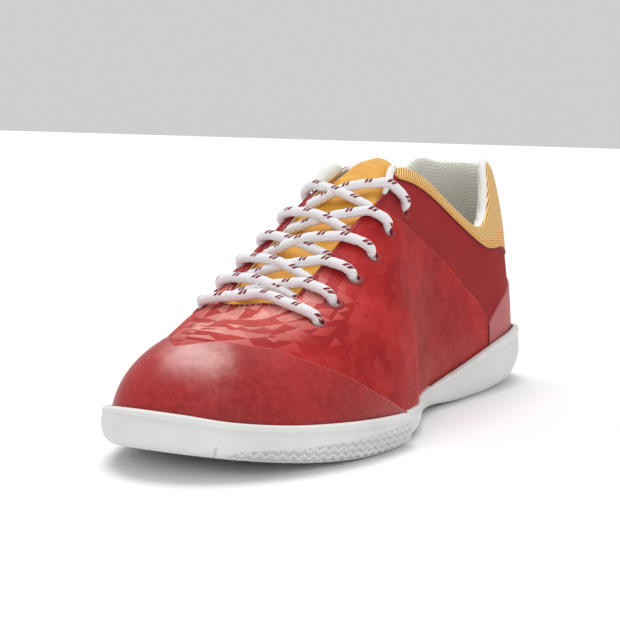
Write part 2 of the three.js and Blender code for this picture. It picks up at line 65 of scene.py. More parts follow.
# Sections from the toe tip to the back of the heel, as in the construction: along and ridge_along are
# shares of the sole's length, lateral, medial and ridge_side of the ball's width, ridge_height of the
# instep's height and wall of the heel wall; rim and band are climbs of the top line and the band's edge
COLUMNS = ("along", "lateral", "medial", "ridge_along", "ridge_side", "ridge_height", "full_lateral",
           "full_medial", "wall", "rim_lateral", "rim_medial", "band_lateral", "band_medial")
SECTIONS = (
    (1.000, -0.100, -0.100, 0.800, -0.085, 0.424, 2.20, 2.20, 0.950, 0.865, 0.780, 0.880, 0.880),
    (0.986, 0.057, -0.242, 0.793, -0.083, 0.423, 2.15, 2.15, 0.910, 0.865, 0.780, 0.880, 0.880),
    (0.946, 0.205, -0.347, 0.775, -0.080, 0.422, 2.15, 2.15, 0.790, 0.865, 0.780, 0.880, 0.880),
    (0.876, 0.342, -0.432, 0.744, -0.075, 0.433, 2.15, 2.20, 0.680, 0.865, 0.780, 0.880, 0.880),
    (0.780, 0.445, -0.492, 0.698, -0.070, 0.484, 2.15, 2.40, 0.600, 0.865, 0.780, 0.880, 0.880),
    (0.671, 0.481, -0.491, 0.633, -0.060, 0.591, 2.18, 2.70, 0.520, 0.855, 0.780, 0.880, 0.880),
    (0.573, 0.444, -0.423, 0.559, -0.050, 0.734, 2.25, 2.85, 0.455, 0.815, 0.820, 0.880, 0.880),
    (0.496, 0.362, -0.337, 0.485, -0.040, 0.873, 2.28, 2.70, 0.430, 0.722, 0.820, 0.830, 0.850),
    (0.416, 0.311, -0.293, 0.406, -0.030, 0.951, 2.30, 2.50, 0.455, 0.780, 0.760, 0.670, 0.680),
    (0.316, 0.324, -0.298, 0.317, -0.015, 1.020, 2.40, 2.40, 0.630, 0.488, 0.600, 0.431, 0.480),
    (0.218, 0.350, -0.327, 0.243, -0.005, 1.095, 2.30, 2.30, 0.860, 0.366, 0.500, 0.303, 0.385),
    (0.117, 0.347, -0.337, 0.178, 0.000, 1.190, 1.85, 1.95, 1.020, 0.555, 0.551, 0.316, 0.368),
    (0.038, 0.250, -0.238, 0.134, 0.000, 1.260, 1.70, 1.80, 1.000, 0.527, 0.518, 0.292, 0.340),
    (0.000, 0.000, 0.000, 0.119, 0.000, 1.280, 1.85, 1.85, 0.950, 0.502, 0.502, 0.272, 0.272),
)
HEEL_ROW = len(SECTIONS) - 1
RING = 2 * HEEL_ROW
THROAT_ROW, THROAT_CORNER, COLLAR_ROW = 3.6, 0.45, 7.78

# Eyelets from the toe end up: row and climb on the lateral side, then on the medial side
EYELETS = ((4.06, 0.64, 4.26, 0.58), (4.57, 0.668, 4.71, 0.607), (5.19, 0.667, 5.19, 0.636),
           (5.79, 0.64, 5.66, 0.656), (6.54, 0.607, 6.16, 0.67), (7.51, 0.565, 6.81, 0.66))

# Lines on the upper, as rows and climbs
TOE_SEAM = ((0, 0.585), (1, 0.638), (1.5, 0.656), (2, 0.644), (2.75, 0.585), (3.25, 0.475), (3.9, 0.322),
            (4.4, 0.194), (4.73, 0.125), (5.05, 0.069), (5.4, 0.03))
PATCH_EDGE = ((10.03, 0.1), (10.85, 0.19), (11.9, 0.237), (13, 0.257))
QUARTER_LINE = ((6.55, 0.84), (6.73, 0.744), (6.83, 0.669), (7.0, 0.594), (7.65, 0.463), (8.38, 0.344),
                (8.9, 0.256), (9.4, 0.188), (9.9, 0.131), (10.05, 0.1), (10.06, 0.0))


def ring_table():
    """Stations of the closed ring, toe tip to heel on the lateral side and home on the medial side."""
    rows = []
    for turn in range(RING):
        side = "lateral" if turn <= HEEL_ROW else "medial"
        s = dict(zip(COLUMNS, SECTIONS[min(turn, RING - turn)]))
        rows.append({
            "along": s["along"] * SOLE_LENGTH,
            "side": s[side] * BALL_WIDTH,
            "ridge_along": s["ridge_along"] * SOLE_LENGTH,
            "ridge_side": s["ridge_side"] * BALL_WIDTH,
            "ridge_height": s["ridge_height"] * INSTEP_HEIGHT,
            "full": s["full_" + side],
            "wall": s["wall"] * HEEL_WALL,
            "rim": s["rim_" + side],
            "band": s["band_" + side],
        })
    for turn, row in enumerate(rows):
        last, after = rows[turn - 1], rows[(turn + 1) % RING]
        run = after["ridge_along"] - last["ridge_along"]
        level = turn % HEEL_ROW == 0
        row["slope"] = 0 if level else (after["ridge_height"] - last["ridge_height"]) / run
    return {name: np.array([row[name] for row in rows]) for name in rows[0]}


STATIONS = ring_table()


def station(turn, name):
    """A column of the ring at any turn, on a smooth closed curve through the stations."""
    turn = np.asarray(turn, float)
    first = np.floor(turn).astype(int)
    t = turn - first
    a, b, c, d = (STATIONS[name][(first + k) % RING] for k in (-1, 0, 1, 2))
    bend = (2 * a - 5 * b + 4 * c - d) * t**2 + (3 * b - a - 3 * c + d) * t**3
    return 0.5 * (2 * b + (c - a) * t + bend)


def row_of(turn):
    wrapped = np.mod(turn, RING)
    return np.minimum(wrapped, RING - wrapped)


def ease(t):
    x = np.clip(t, 0, 1)
    return x * x * (3 - 2 * x)


def bump_at(x, middle, width):
    """A soft hump of height 1."""
    return np.exp(-((x - middle) / width) ** 2)


def read(table, x):
    rows, values = np.array(table, float).T
    return np.interp(x, rows, values)


def ground(along):
    share = along / SOLE_LENGTH
    spring = np.maximum(0, (share - SPRING_START) / (1 - SPRING_START))
    arch = np.sin(np.pi * np.clip((share - ARCH_START) / (ARCH_END - ARCH_START), 0, 1))
    return TOE_SPRING * spring**2 + ARCH_LIFT * arch**2


def outline(turn, inset):
    step = 0.001
    along, side = station(turn, "along"), station(turn, "side")
    d_along = station(turn + step, "along") - station(turn - step, "along")
    d_side = station(turn + step, "side") - station(turn - step, "side")
    run = np.hypot(d_along, d_side)
    return along - inset * d_side / run, side + inset * d_along / run


def place(along, side, height):
    return np.stack(np.broadcast_arrays(side, SOLE_LENGTH / 2 - along, height), -1) + SHIFT


# Side wall of the sole from the tread's edge up and over the lip: share of the wall's height, and how
# far it stands inside the outline at the forefoot and at the heel, as shares of the heel wall
WALL_PROFILE = ((0, 0.154, 0.346), (0.08, 0.073, 0.2), (0.22, 0.023, 0.077), (0.5, -0.012, -0.015),
                (0.8, -0.008, -0.008), (0.96, 0.004, 0.004), (1, 0.035, 0.035), (1, 0.096, 0.096))
SHIFT = np.zeros(3)


def through(table, t):
    """Smooth open curve through the rows of a table; t counts the rows."""
    rows = np.array(table, float)
    t = np.asarray(t, float)
    first = np.clip(np.floor(t).astype(int), 0, len(rows) - 2)
    t = (t - first)[..., None]
    a, b, c, d = (rows[np.clip(first + k, 0, len(rows) - 1)] for k in (-1, 0, 1, 2))
    bend = (2 * a - 5 * b + 4 * c - d) * t**2 + (3 * b - a - 3 * c + d) * t**3
    return 0.5 * (2 * b + (c - a) * t + bend)


def wall(turn, level, proud=0.0):
    """The sole's side wall; level counts the rows of its profile."""
    turn, level = np.broadcast_arrays(np.asarray(turn, float), np.asarray(level, float))
    height, front, rear = np.moveaxis(through(WALL_PROFILE, level), -1, 0)
    heel = ease(1 - station(turn, "along") / SOLE_LENGTH / ARCH_START)
    inset = (front + (rear - front) * heel) * HEEL_WALL
    along, side = outline(turn, inset - proud)
    floor = ground(along)
    return place(along, side, floor + (station(turn, "wall") - floor) * height)


def cad_shift():
    """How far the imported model, centred on its box, lies from the construction."""
    points = wall(np.linspace(0, RING, 3000)[:, None], np.linspace(0, 7, 15))
    low, high = (np.array(corner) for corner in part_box("outsole"))
    middle = (points.min((0, 1)) + points.max((0, 1))) / 2
    shift = (low + high) / 2 - middle
    return shift * (1, 1, 0)


SHIFT = cad_shift()


def form(turn, climb):
    """The upper's outer form, for arrays of turns and climbs."""
    turn, climb = np.broadcast_arrays(np.asarray(turn, float), np.asarray(climb, float))
    along, side = outline(turn, LIP + FIT_GAP)
    base = ground(along) + FOOTBED + FIT_GAP
    angle = climb * np.pi / 2
    power = 2 / station(turn, "full")
    reach = np.maximum(np.cos(angle), 1e-9) ** power
    rise = np.maximum(np.sin(angle), 1e-9) ** power
    ridge_along, ridge_side = station(turn, "ridge_along"), station(turn, "ridge_side")
    top = station(turn, "ridge_height")
    ahead = (along - ridge_along) * reach
    lean = station(turn, "slope") * ahead * (1 - reach) ** 3
    return place(ridge_along + ahead, ridge_side + (side - ridge_side) * reach,
                 base + (top - base) * rise + lean)


def unit(v):
    return v / np.maximum(np.linalg.norm(v, axis=-1, keepdims=True), 1e-12)


def outward(turn, climb):
    step = 0.004
    along_turn = form(turn + step, climb) - form(turn - step, climb)
    along_climb = form(turn, np.minimum(1, climb + step)) - form(turn, climb - step)
    return unit(np.cross(along_turn, along_climb))


def above(turn, climb, lift):
    return form(turn, climb) + outward(turn, climb) * np.asarray(lift)[..., None]


def climb_at(turn, height):
    """Climb at which the form stands at a height."""
    along, _ = outline(turn, LIP + FIT_GAP)
    base = ground(along) + FOOTBED + FIT_GAP
    rise = np.clip((height - base) / (station(turn, "ridge_height") - base), 0, 1)
    return np.arcsin(rise ** (station(turn, "full") / 2)) * 2 / np.pi


def upper_edge(turn):
    """Climb of the upper's top edge: closed over the toes, then the throat, then under the collar."""
    row = row_of(turn)
    throat = 1 + (station(turn, "rim") - 1) * ease((row - THROAT_ROW) / THROAT_CORNER)
    band = station(turn, "band") - 0.004
    edge = np.where(row >= COLLAR_ROW, band, throat)
    return np.where(row <= THROAT_ROW, 1.0, edge)


# Making meshes


def mesh_piece(name, points, faces, uv=None, smooth=True):
    """A mesh object that rides on the shoe; uv is one (u, v) per point."""
    mesh = bpy.data.meshes.new(name)
    mesh.from_pydata(np.asarray(points).reshape(-1, 3).tolist(), [], [list(map(int, f)) for f in faces])
    if uv is not None:
        layer = mesh.uv_layers.new(name="Surface")
        corner = np.empty(len(mesh.loops), int)
        mesh.loops.foreach_get("vertex_index", corner)
        layer.data.foreach_set("uv", np.asarray(uv, float).reshape(-1, 2)[corner].ravel())
    mesh.polygons.foreach_set("use_smooth", [smooth] * len(mesh.polygons))
    mesh.update()
    piece = bpy.data.objects.new(name, mesh)
    bpy.context.scene.collection.objects.link(piece)
    return piece


def tell(piece, **values):
    """Stores one number per point under each name, for the materials."""
    for name, value in values.items():
        layer = piece.data.attributes.new(name, "FLOAT", "POINT")
        layer.data.foreach_set("value", np.broadcast_to(value, (len(piece.data.vertices),)).astype(np.float32))


def grid_faces(rows, columns, closed=False):
    """Four-sided faces of a grid of points, numbered row by row."""
    i = np.arange(rows if closed else rows - 1)[:, None]
    j = np.arange(columns - 1)[None]
    a = i * columns + j
    b = ((i + 1) % rows) * columns + j
    return np.stack([a, b, b + 1, a + 1], -1).reshape(-1, 4)


def arc_lengths(points, axis):
    """Running length along one axis of a grid of points."""
    step = np.linalg.norm(np.diff(points, axis=axis), axis=-1)
    zero = np.zeros_like(np.take(step, [0], axis=axis))
    return np.cumsum(np.concatenate([zero, step], axis=axis), axis=axis)


def finish_piece(piece, material, slot, *nodes):
    for each in np.atleast_1d(material):
        piece.data.materials.append(each)
    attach(piece, "root")
    if nodes:
        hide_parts(*nodes)
    return piece


# Shader maths


class Socket:
    """A value or colour in a material; arithmetic on it adds Math nodes."""

    def __init__(self, finish, output):
        self.finish, self.output = finish, output

    def math(self, operation, *values):
        return self.finish.node("ShaderNodeMath", {"operation": operation}, values)

    def __add__(self, other):
        return self.math("ADD", self, other)

    def __sub__(self, other):
        return self.math("SUBTRACT", self, other)

    def __rsub__(self, other):
        return self.math("SUBTRACT", other, self)

    def __mul__(self, other):
        return self.math("MULTIPLY", self, other)

    def __truediv__(self, other):
        return self.math("DIVIDE", self, other)

    def __neg__(self):
        return self.math("MULTIPLY", self, -1)

    __radd__ = __add__
    __rmul__ = __mul__

    def wave(self):
        """Triangle wave from 0 to 1 with a period of 1."""
        return self.math("PINGPONG", self, 0.5) * 2

    def fraction(self):
        return self.math("FRACT", self)

    def whole(self):
        return self.math("FLOOR", self)

    def size(self):
        return self.math("ABSOLUTE", self)

    def sine(self):
        return self.math("SINE", self)

    def least(self, other):
        return self.math("MINIMUM", self, other)

    def most(self, other):
        return self.math("MAXIMUM", self, other)

    def between(self, low, high, to_low=0.0, to_high=1.0):
        """Soft step: to_low at low and to_high at high."""
        settings = {"interpolation_type": "SMOOTHSTEP"}
        return self.finish.node("ShaderNodeMapRange", settings, (self, low, high, to_low, to_high))


class Finish:
    """A material, built up node by node."""

    def __init__(self, name):
        self.material = bpy.data.materials.new(name)
        self.material.use_nodes = True
        self.tree = self.material.node_tree
        self.tree.nodes.clear()

    def node(self, kind, settings=None, inputs=(), output=0):
        """Adds a node, sets it up, and gives one of its outputs."""
        made = self.tree.nodes.new(kind)
        for name, value in (settings or {}).items():
            setattr(made, name, value)
        pairs = inputs.items() if isinstance(inputs, dict) else enumerate(inputs)
        for key, value in pairs:
            if isinstance(value, Socket):
                self.tree.links.new(value.output, made.inputs[key])
            else:
                made.inputs[key].default_value = value
        return Socket(self, made.outputs[output])

    def math_(self, operation, *values):
        return self.node("ShaderNodeMath", {"operation": operation}, values)

    def second(self, parts):
        """The Y value beside the X value of a split vector."""
        return Socket(self, parts.output.node.outputs["Y"])

    def mix_value(self, factor, low, high):
        """Mix of two numbers."""
        return self.node("ShaderNodeMix", {"data_type": "FLOAT"}, {0: factor, 2: low, 3: high})

    def point_value(self, name):
        return self.node("ShaderNodeAttribute", {"attribute_name": name}, output="Fac")

    def surface(self):
        """Place on the surface in millimetres, as two values."""
        place_ = self.node("ShaderNodeUVMap", {"uv_map": "Surface"})
        split = self.node("ShaderNodeSeparateXYZ", inputs=(place_,))
        return split, Socket(self, split.output.node.outputs["Y"])

    def vector(self, x, y, z=0.0):
        return self.node("ShaderNodeCombineXYZ", inputs=(x, y, z))

    def spot(self, scale):
        """Place on the object, scaled, for grain that has no direction."""
        where = self.node("ShaderNodeTexCoord", output="Object")
        return self.node("ShaderNodeVectorMath", {"operation": "SCALE"}, {0: where, "Scale": scale})

    def noise(self, where, detail=2.0, roughness=0.5, dimensions="3D", scale=1.0):
        inputs = {"Vector": where, "Scale": scale, "Detail": detail, "Roughness": roughness}
        return self.node("ShaderNodeTexNoise", {"noise_dimensions": dimensions}, inputs)

    def mix(self, factor, low, high):
        """Mix of two colours."""
        inputs = {0: factor, 6: low, 7: high}
        return self.node("ShaderNodeMix", {"data_type": "RGBA"}, inputs, output=2)

    def bumped(self, height, depth, strength=1.0, normal=None):
        """Normal of a surface whose height, in depths of so many metres, varies from 0 to 1."""
        inputs = {"Strength": strength, "Distance": depth, "Height": height}
        if normal is not None:
            inputs["Normal"] = normal
        return self.node("ShaderNodeBump", inputs=inputs)

    def done(self, colour, roughness, normal=None, **fixed):
        shader = self.tree.nodes.new("ShaderNodeBsdfPrincipled")
        out = self.tree.nodes.new("ShaderNodeOutputMaterial")
        self.tree.links.new(shader.outputs[0], out.inputs[0])
        linked = {"Base Color": colour, "Roughness": roughness, "Normal": normal}
        for name, value in linked.items():
            if isinstance(value, Socket):
                self.tree.links.new(value.output, shader.inputs[name])
            elif value is not None:
                shader.inputs[name].default_value = value
        for name, value in fixed.items():
            shader.inputs[name.replace("_", " ").title().replace("Ior", "IOR")].default_value = value
        return self.material


def paint(red, green, blue):
    """Linear colour of an sRGB value from 0 to 255."""
    def linear(value):
        share = value / 255
        return share / 12.92 if share <= 0.04045 else ((share + 0.055) / 1.055) ** 2.4
    return (linear(red), linear(green), linear(blue), 1.0)


# The upper


def across(row, reach, lift):
    """A point across the ridge: reach is 0 on the ridge and positive on the lateral side."""
    row, reach = np.broadcast_arrays(np.asarray(row, float), np.asarray(reach, float))
    turn = np.where(reach >= 0, row, RING - row)
    return above(turn, np.minimum(1 - np.abs(reach), 0.998), lift)


def distance(points, line):
    """Distance from each point to a line of close points."""
    flat = points.reshape(-1, 3)
    far = np.full(len(flat), np.inf)
    for a, b in zip(line[:-1], line[1:]):
        run = b - a
        t = np.clip((flat - a) @ run / max(run @ run, 1e-18), 0, 1)
        far = np.minimum(far, np.linalg.norm(flat - a - t[:, None] * run, axis=1))
    return far.reshape(points.shape[:-1])


def line_on_upper(table, medial=False, count=90):
    """Close points of a line on the form from a table of rows and climbs."""
    rows = np.array(table, float)
    t = np.linspace(0, len(rows) - 1, count)
    row, climb = np.interp(t, np.arange(len(rows)), rows[:, 0]), np.interp(t, np.arange(len(rows)), rows[:, 1])
    return form(RING - row if medial else row, climb)


def smooth_table(table, count=8):
    """The same table with its corners rounded."""
    return through(table, np.linspace(0, len(table) - 1, count * (len(table) - 1) + 1))


SEAM_LINE = smooth_table(TOE_SEAM)
PATCH_LINE = smooth_table(PATCH_EDGE)
QUARTER = smooth_table(QUARTER_LINE)


def relief(points):
    """Soft wear of the upper in metres, from where a point lies."""
    along = 0.5 - points[..., 1] / SOLE_LENGTH
    side = points[..., 0] / BALL_WIDTH
    lift = np.zeros(points.shape[:-1])
    for a0, s0, a1, s1, depth, width in TROUGHS:
        run = np.array([(a1 - a0) * SOLE_LENGTH, (s1 - s0) * BALL_WIDTH])
        off = np.stack([(along - a0) * SOLE_LENGTH, (side - s0) * BALL_WIDTH], -1)
        t = np.clip(off @ run / (run @ run), 0, 1)
        gap = np.linalg.norm(off - t[..., None] * run, axis=-1)
        lift -= depth * MM * np.exp(-(gap / (width * MM)) ** 2) * (0.35 + 2.6 * t * (1 - t))
    return lift


# Troughs of the creases: share along and across at both ends, depth and width in millimetres
TROUGHS = (
    (0.735, -0.30, 0.76, 0.12, 0.8, 5.0),
    (0.80, -0.25, 0.82, 0.18, -0.35, 7.0),
    (0.70, 0.05, 0.69, 0.40, 0.6, 4.5),
    (0.86, 0.02, 0.84, 0.26, 0.5, 5.5),
    (0.655, 0.16, 0.60, 0.42, 0.7, 5.0),
    (0.56, 0.30, 0.50, 0.36, 0.5, 6.0),
)

TURN_STEPS = 24
CLIMB_STEPS = 84


def eyelet_frames():
    """Middle, outward direction and name of every eyelet."""
    frames = []
    for k, (row_l, climb_l, row_m, climb_m) in enumerate(EYELETS, 1):
        for side, turn, climb in (("lateral", row_l, climb_l), ("medial", RING - row_m, climb_m)):
            middle = form(turn, climb)
            frames.append((f"{side}_{k}", middle, outward(turn, climb), turn, climb))
    return frames


def weld_ridge(faces, rows, columns):
    """Gives both sides of the closed forefoot the same points along the ridge."""
    same = np.arange(rows * columns)
    for i in range(rows):
        turn = i * RING / rows
        if turn > HEEL_ROW and row_of(turn) <= THROAT_ROW:
            same[i * columns + columns - 1] = (rows - i) * columns + columns - 1
    return same[faces]


def add_map(piece, name, uv):
    layer = piece.data.uv_layers.new(name=name)
    corner = np.empty(len(piece.data.loops), int)
    piece.data.loops.foreach_get("vertex_index", corner)
    layer.data.foreach_set("uv", np.asarray(uv, float).reshape(-1, 2)[corner].ravel())


def print_map(turn, climb, points):
    """Places of the print in millimetres: along the foot, and round it from the ridge."""
    fine = np.linspace(0, 1, 121)
    length = arc_lengths(form(turn, fine), 1)
    down = np.stack([np.interp(c, fine, l[-1] - l) for c, l in zip(climb, length)])
    side = np.where(turn <= HEEL_ROW, 1, -1)
    return np.stack([down * side, points[..., 1]], -1) / MM


def masks(points, turn, climb):
    """Print, painted sheen high on the vamp and red rubbed pale low down: where each shows, from 0 to 1."""
    along = 0.5 - points[..., 1] / SOLE_LENGTH
    vamp = ease((along - 0.6) / 0.1) * ease((climb - 0.3) / 0.3)
    flank = 0.27 * ease((along - 0.12) / 0.1)
    shown = np.maximum(vamp, flank)
    # Where a pale sheen is painted on the vamp's upper part
    painted_sheen = ease((along - 0.63) / 0.07) * ease((climb - 0.55) / 0.3)
    low = 0.5 * bump_at(climb, 0.0, 0.11) * ease((0.52 - along) / 0.08) * ease((along - 0.14) / 0.06)
    return {"print": shown.ravel(), "painted_sheen": painted_sheen.ravel(), "rub": low.ravel()}


def make_upper(material, lining, rim_material):
    rows, columns = RING * TURN_STEPS, CLIMB_STEPS + 1
    turn = (np.arange(rows) * RING / rows)[:, None]
    climb = upper_edge(turn) * np.linspace(0, 1, columns) ** 0.94
    points = form(turn, climb)
    up = outward(turn, np.minimum(climb, 0.995))
    quarter = distance(points, form(QUARTER[:, 0], QUARTER[:, 1]))
    quarter = np.minimum(quarter, distance(points, form(RING - QUARTER[:, 0], QUARTER[:, 1])))
    row = row_of(turn)
    behind = row > np.interp(climb, QUARTER[::-1, 1], QUARTER[::-1, 0])
    quarter = np.where(behind, quarter, -quarter)
    seam = distance(points, form(SEAM_LINE[:, 0], SEAM_LINE[:, 1]))
    seam = np.minimum(seam, distance(points, form(RING - SEAM_LINE[:, 0], SEAM_LINE[:, 1])))
    lift = relief(points) - 0.35 * MM * ease(quarter / MM + 0.5)
    for _, middle, _, _, _ in eyelet_frames():
        gap = np.linalg.norm(points - middle, axis=-1)
        lift -= 0.5 * MM * np.exp(-(gap / (4.5 * MM)) ** 2)
    placed = points + up * lift[..., None]
    faces = grid_faces(rows, columns, closed=True)
    faces, placed = cut_eyelets(faces, placed)
    faces = weld_ridge(faces, rows, columns)
    u = arc_lengths(form(turn, np.full_like(turn, 0.45)), 0)[:, 0]
    uv = np.stack(np.broadcast_arrays(u[:, None], arc_lengths(points, 1)), -1) / MM
    outer = mesh_piece("upper_shell", placed, faces, uv)
    add_map(outer, "Print", print_map(turn, climb, points))
    tell(outer, quarter=quarter.ravel() / MM, **masks(points, turn, climb))
    finish_piece(outer, material, "upper_fabric", "upper")

    climbs = upper_edge(turn[::2]) * np.linspace(0, 1, 45)
    inner = above(turn[::2], np.minimum(climbs, 0.995), -UPPER_WALL)
    inner_faces = weld_ridge(grid_faces(rows // 2, 45, closed=True)[:, ::-1], rows // 2, 45)
    inner_uv = np.stack(np.broadcast_arrays(u[::2, None], arc_lengths(inner, 1)), -1) / MM
    inside = mesh_piece("upper_lining", inner, inner_faces, inner_uv)
    finish_piece(inside, lining, "lining_fabric", "upper")

    first = THROAT_ROW + 0.02
    for side in ("lateral", "medial"):
        rows_ = np.linspace(first, COLLAR_ROW, 200)[:, None]
        t = rows_ if side == "lateral" else RING - rows_
        edge = upper_edge(t)
        angle = np.linspace(0, math.pi, 11)
        per_climb = np.linalg.norm(form(t, edge) - form(t, edge - 0.01), axis=-1) / 0.01
        radius = UPPER_WALL / 2
        past = np.minimum(edge + radius * np.sin(angle) / per_climb, 0.9985)
        lift_ = -radius + radius * np.cos(angle)
        rim = above(t, past, lift_ + relief(form(t, edge)) * np.cos(angle / 2))
        rim_uv = np.stack(np.broadcast_arrays(arc_lengths(rim, 0)[:, :1], angle), -1) / (MM, 1)
        piece = mesh_piece(f"throat_rim_{side}", rim, grid_faces(200, 11)[:, ::1 if side == "lateral" else -1],
                           rim_uv)
        finish_piece(piece, [rim_material, lining], "upper_fabric", "upper")
        bound = 8 if side == "lateral" else 4
        piece.data.polygons.foreach_set("material_index", (np.tile(np.arange(10), 199) >= bound).astype(int))
    return outer


def cut_eyelets(faces, placed):
    """Opens a round hole at each eyelet and brings the points near its edge onto the circle."""
    shape = placed.shape
    flat = placed.reshape(-1, 3).copy()
    keep = np.ones(len(faces), bool)
    radius = EYELET / 2
    for _, middle, out, _, _ in eyelet_frames():
        off = flat - middle
        off = off - (off @ out)[:, None] * out
        gap = np.linalg.norm(off, axis=1)
        near = (gap < 4 * radius) & (np.linalg.norm(flat - middle, axis=1) < 4 * radius)
        inside = near & (gap < radius)
        whole = inside[faces].all(1)
        keep &= ~whole
        rim = np.zeros(len(flat), bool)
        rim[np.unique(faces[(inside[faces].any(1)) & ~whole])] = True
        moved = rim & inside
        flat[moved] += off[moved] / gap[moved, None] * (radius - gap[moved])[:, None]
    return faces[keep], flat.reshape(shape)


def make_eyelets(material):
    """A rolled rim in every eyelet, down through the wall."""
    profile = ((1.75, -0.35), (1.35, 0.12), (1.08, 0.16), (0.94, -0.15), (0.9, -1.0), (0.92, -2.2))
    points, faces = [], []
    ring = np.linspace(0, 2 * math.pi, 28, endpoint=False)
    for _, middle, out, turn, climb in eyelet_frames():
        side = unit(np.cross(out, form(turn, climb + 0.01) - middle))
        up = np.cross(side, out)
        table = through(profile, np.linspace(0, len(profile) - 1, 16))
        radius, depth = table[:, 0] * EYELET / 2, table[:, 1] * MM - 0.45 * MM
        spin = side * np.cos(ring)[:, None, None] + up * np.sin(ring)[:, None, None]
        rim = middle + spin * radius[:, None] + out * depth[:, None]
        faces.append(grid_faces(28, 16, closed=True)[:, ::-1] + len(points) * 28 * 16)
        points.append(rim)
    piece = mesh_piece("eyelet_rims", points, np.concatenate(faces))
    return finish_piece(piece, material, "upper_fabric")


def make_film(name, first, last, edge, count, lift, material, node):
    """A thin smooth panel on the upper, from the sole's lip up to a line."""
    turn = np.linspace(first, last, count)[:, None]
    foot = climb_at(turn, station(turn, "wall") - 1.5 * MM)
    top = np.interp(row_of(turn), edge[:, 0], edge[:, 1])
    share = np.linspace(0, 1, 60) ** 0.9
    climb = foot + (top - foot) * share
    points = form(turn, climb)
    hollows = relief(points)
    thick = np.full(points.shape[:-1], lift)
    lips = np.linspace(0, math.pi / 2, 6)[1:]
    per_climb = np.linalg.norm(form(turn, top) - form(turn, top - 0.01), axis=-1) / 0.01
    past = top + 0.5 * MM * np.sin(lips) / per_climb
    climb = np.concatenate([climb, past], 1)
    down = lift * np.cos(lips) - 0.35 * MM * (1 - np.cos(lips))
    thick = np.concatenate([thick, np.broadcast_to(down, past.shape)], 1)
    hollows = np.concatenate([hollows, np.repeat(hollows[:, -1:], 5, 1)], 1)
    placed = form(turn, climb) + outward(turn, climb) * (thick + hollows)[..., None]
    u = arc_lengths(placed[:, 20:21], 0)
    uv = np.stack(np.broadcast_arrays(u, arc_lengths(placed, 1)), -1) / MM
    piece = mesh_piece(name, placed, grid_faces(count, placed.shape[1]), uv)
    away, side = 0.5 - placed[..., 1] / SOLE_LENGTH, placed[..., 0] / BALL_WIDTH
    # Where a pale highlight is painted on the toe cap's front; one is also painted along the top edge
    crest = bump_at(away, 0.912, 0.045) * bump_at(side, 0.01, 0.16)
    tell(piece, edge=((top - climb) * 90).ravel(), crest=crest.ravel())
    return finish_piece(piece, material, "overlay_film", node)


# The collar, from its lower edge up the outside, over the top and down the inside: share of the band's
# height, and share of the pad's thickness outwards from the upper's form
COLLAR_SECTION = ((-0.03, -0.02), (0.08, 0.02), (0.28, 0.05), (0.55, 0.05), (0.82, 0), (0.95, -0.16), (1.01, -0.42),
                  (0.97, -0.68), (0.85, -0.9), (0.6, -1.05), (0.3, -1.0), (-0.1, -0.75), (-0.6, -0.45))


def capped(grid):
    """Rows that close the start of a padded grid towards the middle of its first row."""
    middle = grid[0].mean(0)
    ahead = (grid[0] - grid[1]).mean(0)
    ahead = ahead / max(np.linalg.norm(ahead), 1e-9) * (1.2 * MM if np.abs(grid).max() < 1 else 0)
    angles = (1.5, 1.15, 0.8, 0.4)
    return np.stack([middle + (grid[0] - middle) * math.cos(a) + ahead * math.sin(a) for a in angles])


def make_collar(band_material, top_material, lining):
    first = COLLAR_ROW + 0.03
    turn = np.concatenate([[first], np.linspace(first + 0.02, RING - first - 0.02, 420), [RING - first]])[:, None]
    level = np.linspace(0, len(COLLAR_SECTION) - 1, 73)
    up, out = np.moveaxis(through(COLLAR_SECTION, level), -1, 0)
    rim, band = station(turn, "rim"), station(turn, "band")
    slim = ease((row_of(turn) - first) / 0.5 + 0.25)
    climb = band + (rim - band) * up * np.where(up > 0.9, 0.97 + 0.03 * slim, 1)
    points = above(turn, climb, (out + 0.03) * COLLAR_PAD * (0.35 + 0.65 * slim))
    u = arc_lengths(form(turn, band), 0)
    uv = np.stack(np.broadcast_arrays(u, arc_lengths(points, 1)), -1) / MM
    points, uv = (np.concatenate([capped(grid), grid, capped(grid[::-1])[::-1]]) for grid in (points, uv))
    faces = grid_faces(len(points), len(level))
    piece = mesh_piece("collar_pad", points, faces, uv)
    flat = form(turn, band)[:, 0] * (1, 1, 0)
    around = arc_lengths(flat, 0) / MM
    around = np.pad(np.minimum(around, around[-1] - around), 4, "edge")[:, None]
    rib = 0.66 * around - 0.75 * points[..., 2] / MM
    tell(piece, level=np.broadcast_to(level, points.shape[:-1]).ravel(), rib=rib.ravel())
    finish_piece(piece, [band_material, top_material, lining], "collar_fabric", "collar")
    column = np.tile(level[:-1], len(points) - 1)
    which = np.where(column < 4.95, 0, np.where(column < 6.4, 1, 2))
    piece.data.polygons.foreach_set("material_index", which)
    return piece


def make_piping(material):
    """Thin dark piping along the collar's lower edge."""
    turn = np.linspace(COLLAR_ROW - 0.02, RING - COLLAR_ROW + 0.02, 420)
    line = above(turn, station(turn, "band") - 0.004, -0.25 * MM)
    return tube("collar_piping", line, 0.55 * MM, material, "upper_fabric", 10)


